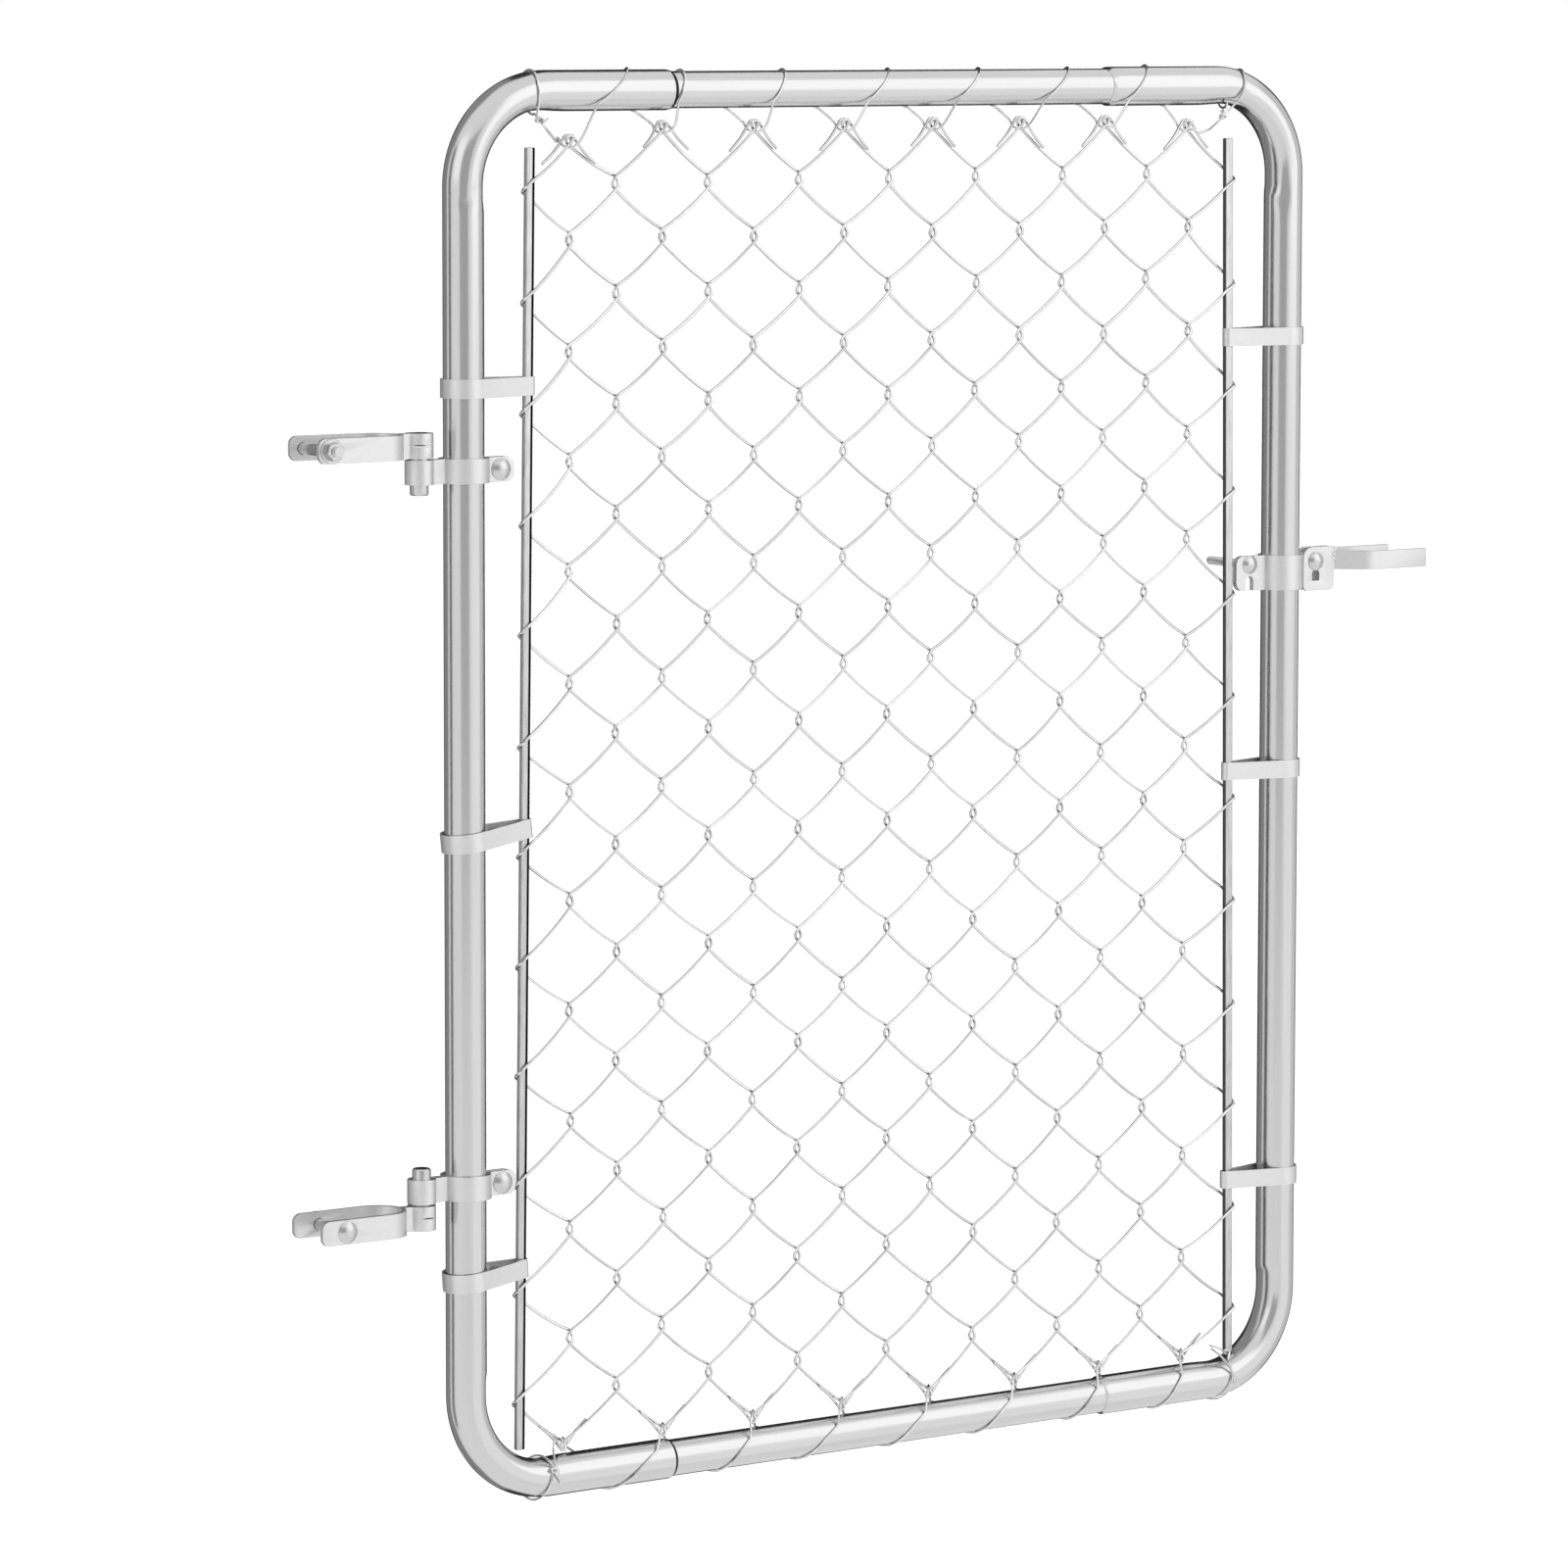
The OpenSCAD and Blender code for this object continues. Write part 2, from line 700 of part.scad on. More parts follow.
module lower_post_nut() {
    color("silver") place() translate([pin_x - lower_post_bolt_x, leg_face + slip_gap, lower_post_z])
        washer_and_nut();
}

// An arched notch for a padlock, its round top below a bolt
module arch(drop, open_len) {
    translate([0, -drop]) circle(d = notch_w);
    translate([-notch_w / 2, -drop - open_len]) square([notch_w, open_len]);
}

// The front half of the collar: a bulge over the tube between two flat lugs
module collar_half() {
    low = -collar_h / 2;
    difference() {
        union() {
            difference() {
                translate([0, 0, low]) cylinder(r = collar_r + collar_t, h = collar_h);
                translate([-tube_d, 0, low - cut]) cube([2 * tube_d, tube_d, collar_h + 2 * cut]);
            }
            upright(-collar_t, collar_t) {
                translate([-left_lug + lug_corner, low]) square([left_lug + right_lug - 2 * lug_corner, collar_h]);
                for (x = [-left_lug + lug_corner, right_lug - lug_corner]) {
                    for (side = [-1, 1]) {
                        translate([x, side * (collar_h / 2 - lug_corner)]) circle(r = lug_corner);
                    }
                    translate([x - lug_corner, low + lug_corner]) square([2 * lug_corner, collar_h - 2 * lug_corner]);
                }
            }
        }
        translate([0, 0, low - cut]) cylinder(r = collar_r, h = collar_h + 2 * cut);
        translate([-latch_bolt_x, 0, latch_lift]) rod_y(latch_bolt_d / 2 + hole_gap, -tube_d, 2 * tube_d);
        translate([latch_bolt_x, 0, latch_lift]) rod_y(latch_bolt_d / 2 + seat_gap, -tube_d, 2 * tube_d);
        upright(-tube_d, 2 * tube_d) {
            translate([-latch_bolt_x, latch_lift]) arch(notch_drop + 3, collar_h);
            translate([latch_bolt_x, latch_lift]) arch(notch_drop, notch_w * 0.7);
        }
    }
}

module latch_front_collar() {
    color("lightgray") place() translate([span, -slip_gap, collar_z]) collar_half();
}

module latch_back_collar() {
    color("lightgray") place() translate([span, slip_gap, collar_z]) mirror([0, 1, 0]) collar_half();
}

lug_face = collar_t + slip_gap;
plate_face = lug_face + lay_gap;

module latch_collar_bolt() {
    color("silver") place() translate([span - latch_bolt_x, -lug_face - slip_gap, latch_z])
        carriage_bolt(latch_bolt_d / 2, latch_bolt_len, latch_head_r, latch_head_h);
}

module latch_pivot_bolt() {
    color("silver") place() translate([span + latch_bolt_x, -plate_face - collar_t - lay_gap, latch_z])
        carriage_bolt(latch_bolt_d / 2, latch_bolt_len, latch_head_r, latch_head_h);
}

module latch_nuts() {
    color("silver") place() {
        translate([span - latch_bolt_x, lug_face + slip_gap, latch_z])
            nut(latch_bolt_d / 2, latch_nut_r, latch_nut_h);
        translate([span + latch_bolt_x, plate_face + collar_t + lay_gap, latch_z])
            nut(latch_bolt_d / 2, latch_nut_r, latch_nut_h);
    }
}

// One side of the fork, drawn from the pivot: a pierced plate, a flare and a straight prong
module fork_side() {
    near = -plate_near;
    far = plate_far;
    r = plate_corner;
    foot_r = plate_corner / 2;
    difference() {
        upright(-plate_face - collar_t, collar_t) difference() {
            union() {
                translate([near + r, plate_up - r]) circle(r = r);
                translate([near + r, 0]) square([far - near - r, plate_up]);
                translate([near, -plate_down + foot_r]) square([far - near, plate_up + plate_down - r - foot_r]);
                translate([near + foot_r, -plate_down]) square([far - near - 2 * foot_r, 2 * foot_r]);
                translate([near + foot_r, -plate_down + foot_r]) circle(r = foot_r);
                translate([far - foot_r, -plate_down + foot_r]) circle(r = foot_r);
            }
            arch(notch_drop, notch_w * 0.7);
        }
        rod_y(latch_bolt_d / 2 + run_gap, -tube_d, 2 * tube_d);
    }
    outer = fork_gap / 2 + prong_t;
    flare = flare_x - latch_bolt_x;
    tip = fork_reach - latch_bolt_x;
    root_y = -plate_face;
    translate([0, 0, -prong_h / 2]) linear_extrude(prong_h) polygon([
        [far - collar_t, root_y],
        [far + collar_t, root_y],
        [flare, -fork_gap / 2],
        [tip, -fork_gap / 2],
        [tip, -outer],
        [flare - prong_t / 2, -outer],
        [far, root_y - collar_t],
        [far - collar_t, root_y - collar_t]
    ]);
}

module latch_fork() {
    color("lightgray") place() translate([span + latch_bolt_x, 0, latch_z]) {
        fork_side();
        mirror([0, 1, 0]) fork_side();
    }
}

left_side_tube();
right_side_tube();
top_rail();
bottom_rail();
left_tension_bar();
right_tension_bar();
left_band(0);  // left_band_top
left_band(1);  // left_band_middle
left_band(2);  // left_band_bottom
right_band(0);  // right_band_top
right_band(1);  // right_band_middle
right_band(2);  // right_band_bottom
left_band_bolts();
right_band_bolts();
chain_link_fabric();
top_tie_wire();
bottom_tie_wire();
color("darkgray") place() frame_hinge(upper_frame_z);  // upper_frame_hinge
color("darkgray") place() frame_hinge(lower_frame_z);  // lower_frame_hinge
frame_bolt(upper_frame_z);  // upper_frame_bolt
frame_bolt(lower_frame_z);  // lower_frame_bolt
frame_nut(upper_frame_z);  // upper_frame_nut
frame_nut(lower_frame_z);  // lower_frame_nut
color("gray") place() post_hinge(upper_post_z, upper_post_bolt_x);  // upper_post_hinge
color("gray") place() post_hinge(lower_post_z, lower_post_bolt_x);  // lower_post_hinge
color("dimgray") place() hinge_pin(upper_post_z, -1);  // upper_hinge_pin
color("dimgray") place() hinge_pin(lower_post_z, 1);  // lower_hinge_pin
upper_post_bolt();
lower_post_bolt();
upper_post_nut();
lower_post_nut();
latch_front_collar();
latch_back_collar();
latch_collar_bolt();
latch_pivot_bolt();
latch_nuts();
latch_fork();
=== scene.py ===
"""Looks of the chain link walk gate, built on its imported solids, laid out as an add-on."""
import json
import math

import bmesh
import bpy
from mathutils import Matrix, Vector


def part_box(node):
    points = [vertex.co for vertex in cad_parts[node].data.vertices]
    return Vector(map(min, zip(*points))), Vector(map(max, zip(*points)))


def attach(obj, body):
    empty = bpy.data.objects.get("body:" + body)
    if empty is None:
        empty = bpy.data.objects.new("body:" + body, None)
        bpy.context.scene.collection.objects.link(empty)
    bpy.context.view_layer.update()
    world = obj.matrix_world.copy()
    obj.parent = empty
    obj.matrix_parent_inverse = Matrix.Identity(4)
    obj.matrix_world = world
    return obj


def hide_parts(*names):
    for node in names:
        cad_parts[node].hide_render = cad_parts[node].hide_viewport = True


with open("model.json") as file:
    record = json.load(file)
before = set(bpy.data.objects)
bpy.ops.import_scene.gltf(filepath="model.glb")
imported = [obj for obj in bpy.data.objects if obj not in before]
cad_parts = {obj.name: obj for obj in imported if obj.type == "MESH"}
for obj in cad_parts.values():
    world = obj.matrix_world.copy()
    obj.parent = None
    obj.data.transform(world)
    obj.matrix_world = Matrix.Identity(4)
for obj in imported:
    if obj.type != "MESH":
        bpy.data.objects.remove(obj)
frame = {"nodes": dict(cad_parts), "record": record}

bl_info = {
    "name": "Chain link walk gate",
    "version": (1, 0, 0),
    "blender": (4, 5, 0),
    "location": "View3D > Sidebar > Gate",
    "description": "Woven fabric, lacing, hinges, latch and finishes of a chain link walk gate",
    "category": "Add Mesh",
}

MM = 0.001
# From the hinge side tube's centreline at the frame's bottom edge to the origin of the solids, in mm
PLACE = Vector((100.5, 21.15, -254.7))

# Sizes in mm, the same as the solids' own
LEAF_H = 1219.2
TUBE_R = 17.45
RAIL_R = 15.9
SPAN = 879.5
TOP_Z = LEAF_H - TUBE_R
FOOT_Z = TUBE_R
ARM = 203
BEND_R = 80
BAR_X = 59.6
BAR_MID_Z = 594.8
SPIRALS = 16
HALF_TURNS = 24
COLUMN = (SPAN - 2 * BAR_X) / SPIRALS
COLUMN_0 = 57.8
PEAK_TOP_Z = 1171.2
PEAK_FOOT_Z = 42.0
HALF_ROW = (PEAK_TOP_Z - PEAK_FOOT_Z) / HALF_TURNS
# The first and last peaks hang lower at the top, and the first stands nearer the bar at the foot: (x, z) in mm
TOP_SHIFT = {1: (0, -11), 15: (-3, -4)}
FOOT_SHIFT = {1: (-8, 0)}


# Settings

class GateWireSettings(bpy.types.PropertyGroup):
    """Shape of the fabric and of its lacing."""
    wire_d: bpy.props.FloatProperty(name="Wire", description="Diameter of the fabric wire in mm", default=2.5, min=1.5, max=3.5)
    tie_d: bpy.props.FloatProperty(name="Lacing", description="Diameter of the lacing wire in mm", default=2.0, min=1.0, max=3.0)
    sag: bpy.props.FloatProperty(name="Bow", description="How far a strand bows down between two twists, in mm", default=2.1, min=0.0, max=6.0)
    eye_h: bpy.props.FloatProperty(name="Eye height", description="Half height of a twist, in mm", default=5.5, min=2.0, max=10.0)
    eye_w: bpy.props.FloatProperty(name="Eye width", description="Half width of a twist, in mm", default=2.7, min=1.4, max=5.0)
    wander: bpy.props.FloatProperty(name="Wander", description="How far twists stray from their rows, in mm", default=1.1, min=0.0, max=4.0)


class GateSteelSettings(bpy.types.PropertyGroup):
    """Edges and colours of the steel."""
    edge: bpy.props.FloatProperty(name="Edge", description="Width of the softened edges of straps, in mm", default=0.5, min=0.1, max=1.5)
    tube_colour: bpy.props.StringProperty(name="Tube", description="sRGB colour of the tubes", default="#d4d4d4")
    strap_colour: bpy.props.StringProperty(name="Strap", description="sRGB colour of the straps", default="#e1e1e1")
    bolt_colour: bpy.props.StringProperty(name="Bolt", description="sRGB colour of the bolts", default="#d2d2d2")
    wire_colour: bpy.props.StringProperty(name="Wire", description="sRGB colour of the wires", default="#ececec")
    bar_colour: bpy.props.StringProperty(name="Bar", description="sRGB colour of the tension bars", default="#dddddd")
    bar_w: bpy.props.FloatProperty(name="Bar width", description="Width of a tension bar in mm", default=8.2, min=6.0, max=10.0)
    bar_t: bpy.props.FloatProperty(name="Bar thickness", description="Thickness of a tension bar in mm", default=5.0, min=4.0, max=6.0)


# Small helpers

def linear(code):
    """A linear RGBA colour from an sRGB hex value."""
    out = []
    for k in (1, 3, 5):
        c = int(code[k:k + 2], 16) / 255
        out.append(c / 12.92 if c <= 0.04045 else ((c + 0.055) / 1.055) ** 2.4)
    return (*out, 1.0)


def at(x, y, z):
    """A point of the gate in mm as a point of the scene."""
    return (Vector((x, y, z)) + PLACE) * MM


def wave(*seeds):
    """A steady pseudo random value from -1 to 1."""
    v = sum(s * k for s, k in zip(seeds, (12.9898, 78.233, 37.719))) + 4.1
    return 2 * (math.sin(v) * 43758.5453 % 1) - 1


def smooth_path(points, step):
    """Points about step mm apart on a smooth curve through the given points."""
    out = []
    n = len(points)
    for i in range(n - 1):
        p0 = points[max(i - 1, 0)]
        p1, p2 = points[i], points[i + 1]
        p3 = points[min(i + 2, n - 1)]
        length = (p2 - p1).length
        a = max((p1 - p0).length, 1e-3) ** 0.5
        b = max(length, 1e-3) ** 0.5
        c = max((p3 - p2).length, 1e-3) ** 0.5
        m1 = (p2 - p1) + b * ((p1 - p0) / a - (p2 - p0) / (a + b)) if i > 0 else (p2 - p1)
        m2 = (p2 - p1) + b * ((p3 - p2) / c - (p3 - p1) / (b + c)) if i < n - 2 else (p2 - p1)
        count = max(1, math.ceil(length / step))
        for k in range(count):
            t = k / count
            h1 = 2 * t ** 3 - 3 * t ** 2 + 1
            h2 = t ** 3 - 2 * t ** 2 + t
            h3 = -2 * t ** 3 + 3 * t ** 2
            h4 = t ** 3 - t ** 2
            out.append(p1 * h1 + m1 * h2 + p2 * h3 + m2 * h4)
    out.append(points[-1])
    return out


def wire_mesh(name, paths, diameter, resolution, caps=True):
    """One mesh of round wires along the paths, made from a curve."""
    curve = bpy.data.curves.new(name + "_line", "CURVE")
    curve.dimensions = "3D"
    curve.bevel_depth = diameter / 2 * MM
    curve.bevel_resolution = resolution
    curve.use_fill_caps = caps
    curve.twist_mode = "MINIMUM"
    for path in paths:
        spline = curve.splines.new("POLY")
        spline.points.add(len(path) - 1)
        for point, p in zip(spline.points, path):
            point.co = (*at(*p), 1.0)
    maker = bpy.data.objects.new(name + "_line", curve)
    bpy.context.scene.collection.objects.link(maker)
    bpy.context.view_layer.update()
    mesh = bpy.data.meshes.new_from_object(maker.evaluated_get(bpy.context.evaluated_depsgraph_get()))
    bpy.data.objects.remove(maker)
    bpy.data.curves.remove(curve)
    bm = bmesh.new()
    bm.from_mesh(mesh)
    bmesh.ops.recalc_face_normals(bm, faces=bm.faces)
    return finish_piece(name, bm, mesh)


def finish_piece(name, bm, mesh=None, sharp=32):
    """Writes a bmesh to an object at the origin, smooth but for its sharp edges."""
    mesh = mesh or bpy.data.meshes.new(name)
    mesh.name = name
    bm.to_mesh(mesh)
    bm.free()
    mesh.shade_smooth()
    mesh.set_sharp_from_angle(angle=math.radians(sharp))
    piece = bpy.data.objects.new(name, mesh)
    bpy.context.scene.collection.objects.link(piece)
    return piece


def fit(piece, body, slot, material, *nodes):
    """Gives a piece its body, finish and the solids that it stands for."""
    piece.data.materials.clear()
    piece.data.materials.append(material)
    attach(piece, body)
    if nodes:
        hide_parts(*nodes)
    return piece


def body_of(node):
    """The body that a solid rides on."""
    for body, members in frame["record"]["behaviour"]["bodies"].items():
        if node in members:
            return body
    raise ValueError(node)


# Materials

def add(nodes, links, kind, settings=None, **inputs):
    """Adds a shader node with its settings, input values and links."""
    node = nodes.new(kind)
    for key, value in (settings or {}).items():
        setattr(node, key, value)
    for key, value in inputs.items():
        socket = node.inputs[int(key[1:])] if key[0] == "i" and key[1:].isdigit() else node.inputs[key.replace("_", " ")]
        if isinstance(value, bpy.types.NodeSocket):
            links.new(value, socket)
        else:
            socket.default_value = value
    return node


def steel(name, colour, roughness, grain, streak, bump, spread, along="Z"):
    """Bright zinc coated steel: a grey metal whose gloss and tone shift a little over the surface.

    grain is the size in mm of the coating's patches and streak how many times longer they are along
    X, along Z or, on a drawn tube, along its own run.
    """
    material = bpy.data.materials.new(name)
    material.use_nodes = True
    nodes, links = material.node_tree.nodes, material.node_tree.links
    nodes.clear()
    if along == "run":
        place = add(nodes, links, "ShaderNodeAttribute", {"attribute_name": "run"}).outputs["Vector"]
    else:
        place = add(nodes, links, "ShaderNodeTexCoord").outputs["Object"]
    stretch = (1 / streak, 1, 1) if along == "X" else (1, 1, 1 / streak)
    turn = add(nodes, links, "ShaderNodeMapping", Vector=place, Scale=stretch)
    patches = add(nodes, links, "ShaderNodeTexNoise", Vector=turn.outputs[0], Scale=1 / (grain * MM), Detail=3.0, Roughness=0.55)
    fine = add(nodes, links, "ShaderNodeTexNoise", Vector=turn.outputs[0], Scale=7 / (grain * MM), Detail=2.0, Roughness=0.6)
    low = tuple(c * (1 - spread) for c in linear(colour)[:3]) + (1.0,)
    tone = add(nodes, links, "ShaderNodeMix", {"data_type": "RGBA"}, Factor=patches.outputs["Fac"], i6=low, i7=linear(colour))
    gloss = add(nodes, links, "ShaderNodeMapRange", Value=fine.outputs["Fac"], To_Min=roughness * 0.85, To_Max=roughness * 1.2)
    dents = add(nodes, links, "ShaderNodeBump", Strength=bump, Distance=0.0002, Height=patches.outputs["Fac"])
    shader = add(nodes, links, "ShaderNodeBsdfPrincipled", Metallic=1.0, Base_Color=tone.outputs[2],
                 Roughness=gloss.outputs["Result"], Normal=dents.outputs["Normal"])
    add(nodes, links, "ShaderNodeOutputMaterial", Surface=shader.outputs[0])
    return material


def bar_steel(name, colour, centre, lean, left, right, scale):
    """Rolled bar with drips of zinc: streaks along its length and dark lines of painted shade on its edges.

    left and right are the places in mm, from the bar's middle, where each line starts and is full.
    """
    material = steel(name, colour, 0.30, 3.2, 7, 0.35, 0.48)
    nodes, links = material.node_tree.nodes, material.node_tree.links
    shader = next(n for n in nodes if n.type == "BSDF_PRINCIPLED")
    place = add(nodes, links, "ShaderNodeTexCoord")
    moved = add(nodes, links, "ShaderNodeVectorMath", {"operation": "SUBTRACT"}, i0=place.outputs["Object"], i1=tuple(centre))
    turn = add(nodes, links, "ShaderNodeMapping", Vector=moved.outputs[0], Rotation=(0, -math.radians(lean), 0))
    across = add(nodes, links, "ShaderNodeSeparateXYZ", Vector=turn.outputs[0])
    # Painted shade: the face darkens towards its edges into scale, which is the colour of the shadowed edge lines
    lines = [add(nodes, links, "ShaderNodeMapRange", {"interpolation_type": "SMOOTHSTEP"}, Value=across.outputs["X"],
                 From_Min=first * MM, From_Max=full * MM).outputs["Result"] for first, full in (left, right)]
    both = add(nodes, links, "ShaderNodeMath", {"operation": "MAXIMUM"}, i0=lines[0], i1=lines[1])
    dark = add(nodes, links, "ShaderNodeMix", {"data_type": "RGBA"}, Factor=both.outputs[0],
               i6=shader.inputs["Base Color"].links[0].from_socket, i7=linear(scale))
    links.new(dark.outputs[2], shader.inputs["Base Color"])
    return material


def finishes():
    """The gate's five finishes by slot, and a near black colour of painted shade for its gaps, made once."""
    s = bpy.context.scene.gate_steel
    made = {m.name: m for m in bpy.data.materials}
    if "galvanised_tube_steel" not in made:
        # Tube galvanised in line: smooth and half bright, with long soft streaks
        steel("galvanised_tube_steel", s.tube_colour, 0.20, 6, 26, 0.06, 0.12, "run")
        steel("galvanised_rail_steel", s.tube_colour, 0.22, 6, 26, 0.06, 0.12, "X")
        # Pressed strap, hot dipped: duller, with a faint mottle and a grainy face
        steel("dipped_strap_steel", s.strap_colour, 0.42, 5, 1, 0.12, 0.07)
        # Zinc plated bolts: brighter and finer
        steel("plated_bolt_steel", s.bolt_colour, 0.22, 4, 1, 0.08, 0.12)
        # Drawn and galvanised wire: almost white, with short lengths of brighter coat
        steel("drawn_wire_steel", s.wire_colour, 0.16, 5, 1, 0.03, 0.30)
        # Painted shade: near black, standing for the shadowed gaps at the left arms' ends and in the staked slits
        steel("crimped_seam_steel", "#2b2b2b", 0.5, 3, 1, 0.2, 0.3)
        made = {m.name: m for m in bpy.data.materials}
    return {
        "tube": made["galvanised_tube_steel"],
        "rail": made["galvanised_rail_steel"],
        "strap": made["dipped_strap_steel"],
        "bolt": made["plated_bolt_steel"],
        "wire": made["drawn_wire_steel"],
        "seam": made["crimped_seam_steel"],
    }


# Paths of the wires

def left_bar(z):
    return BAR_X + (z - BAR_MID_Z) * math.tan(math.radians(0.67))


def right_bar(z):
    return SPAN - BAR_X - (z - BAR_MID_Z) * math.tan(math.radians(0.5))


def turn_centre(i, m):
    """Side, column and middle of turn m of spiral i; neighbours agree on it."""
    side = 1 if (m % 2 == 0) == (i % 2 == 0) else -1
    j = i + 1 if side > 0 else i
    w = bpy.context.scene.gate_wire.wander
    inner = 0 < m < HALF_TURNS
    x = COLUMN_0 + j * COLUMN + (w * 0.8 * wave(j, m, 1) if inner else 0)
    z = PEAK_TOP_Z - m * HALF_ROW + (w * wave(j, m, 2) if inner else 0)
    if not inner:
        dx, dz = (TOP_SHIFT if m == 0 else FOOT_SHIFT).get(j, (0, 0))
        x, z = x + dx, z + dz
    return side, j, x, z


def turn_points(i, m):
    """A turn's points from top to bottom: a twist, a hook round a bar or a cut end."""
    p = bpy.context.scene.gate_wire
    side, j, x, z = turn_centre(i, m)
    y = p.wire_d / 2 + 0.2
    h, b = p.eye_h, p.eye_w
    if j in (0, SPIRALS) and 0 < m < HALF_TURNS:
        z -= 4
        bar = left_bar(z) if j == 0 else right_bar(z)
        deep = 2.5 + p.wire_d / 2 + 0.35
        return [
            Vector((bar - side * 5.5, side * deep, z + 10.5)),
            Vector((bar + side * 2.2, side * (deep + 0.1), z + 4.4)),
            Vector((bar + side * 5.0, side * deep * 0.72, z + 2.0)),
            Vector((bar + side * 6.2, 0, z - 0.4)),
            Vector((bar + side * 5.0, -side * deep * 0.72, z - 2.6)),
            Vector((bar + side * 2.2, -side * (deep + 0.1), z - 4.6)),
            Vector((bar - side * 5.5, -side * deep, z - 9.6)),
        ]
    if m in (0, HALF_TURNS):
        up = 1 if m == 0 else -1
        near = wave(j, m, 5) * 0.8
        lean, run = (1.03, 23.5) if up > 0 else (0.88, 25)
        if up > 0 and j < 4:
            lean, run = (0.88, 25.5) if j < 2 or side < 0 else (1.15, 18.5)
        run += 1.8 * wave(j, side, 5)
        cut = [
            Vector((x - side * run, side * up * (y + 0.5), z - up * (run * lean - 2.2))),
            Vector((x - side * (run * 0.55), side * up * (y + 0.6), z - up * (run * 0.55 * lean - 2.0))),
            Vector((x - side * 4.6, side * up * 2.2, z + up * 0.6)),
            Vector((x - side * 2.2, side * up * 2.3, z + up * 3.4)),
            Vector((x + side * 0.8, side * up * 1.8, z + up * 3.7)),
            Vector((x + side * 2.4, side * up * 0.9, z + up * 1.6)),
            Vector((x + side * 2.3, -side * up * 0.5, z - up * 0.9)),
            Vector((x + side * 1.2, -side * up * 1.3, z - up * 2.9)),
            Vector((x - side * 1.2, -side * up * y, z - up * 4.6)),
        ]
        return cut if up > 0 else cut[::-1]
    return [
        Vector((x, side * y, z + h)),
        Vector((x + side * b * 0.78, side * y * 0.86, z + h * 0.48)),
        Vector((x + side * b, 0, z)),
        Vector((x + side * b * 0.78, -side * y * 0.86, z - h * 0.48)),
        Vector((x, -side * y, z - h)),
    ]


def spiral_path(i):
    """One spiral from its top end to its foot: turns joined by bowed strands."""
    p = bpy.context.scene.gate_wire
    points = []
    for m in range(HALF_TURNS + 1):
        turn = turn_points(i, m)
        if points:
            a, b = points[-1], turn[0]
            bow = p.sag * (1 + 0.25 * wave(i, m, 3)) * abs(b.x - a.x) / COLUMN
            for t in (0.14, 0.32, 0.5, 0.68, 0.86):
                points.append(a.lerp(b, t) - Vector((0, 0, bow * 4 * t * (1 - t))))
        points.extend(turn)
    return smooth_path(points, 3.3)


def lay_r(x, d):
    """Radius at which the lacing's centreline lies on the rail or on the arms."""
    t = min(1, max(0, (min(x - ARM, SPAN - ARM - x) + 2) / 8))
    return TUBE_R + (RAIL_R - TUBE_R) * t * t * (3 - 2 * t) + d / 2 + 0.12


def on_rail(x, z, angle, d, off=0.0):
    """A point on the lacing round a rail; the angle counts from the front over the top."""
    a = math.radians(angle)
    r = lay_r(x, d) + off
    return Vector((x, -r * math.cos(a), z + r * math.sin(a)))


def round_the_rail(keys, z, d):
    """Points every few degrees between keys of (x, angle) or (x, angle, off)."""
    keys = [k if len(k) == 3 else (*k, 0.0) for k in keys]
    flat = [Vector(k) for k in keys]
    out = []
    for p in smooth_path(flat, 9):
        out.append(on_rail(p.x, z, p.y, d, p.z))
    return out


TOP_LEADS = (59, 18, 29, 46, 49, 52, 44)
FOOT_LEADS = (36, 52, 44, 45, 45, 56, 60)


def knot(x, y, z, size, turns=2.2):
    """A small coil where a lacing is tied off."""
    out = []
    for k in range(int(turns * 10) + 1):
        a = 2 * math.pi * k / 10
        out.append(Vector((x + size * math.cos(a), y + 1.1 * k / 10 * 2, z + size * 0.8 * math.sin(a))))
    return out


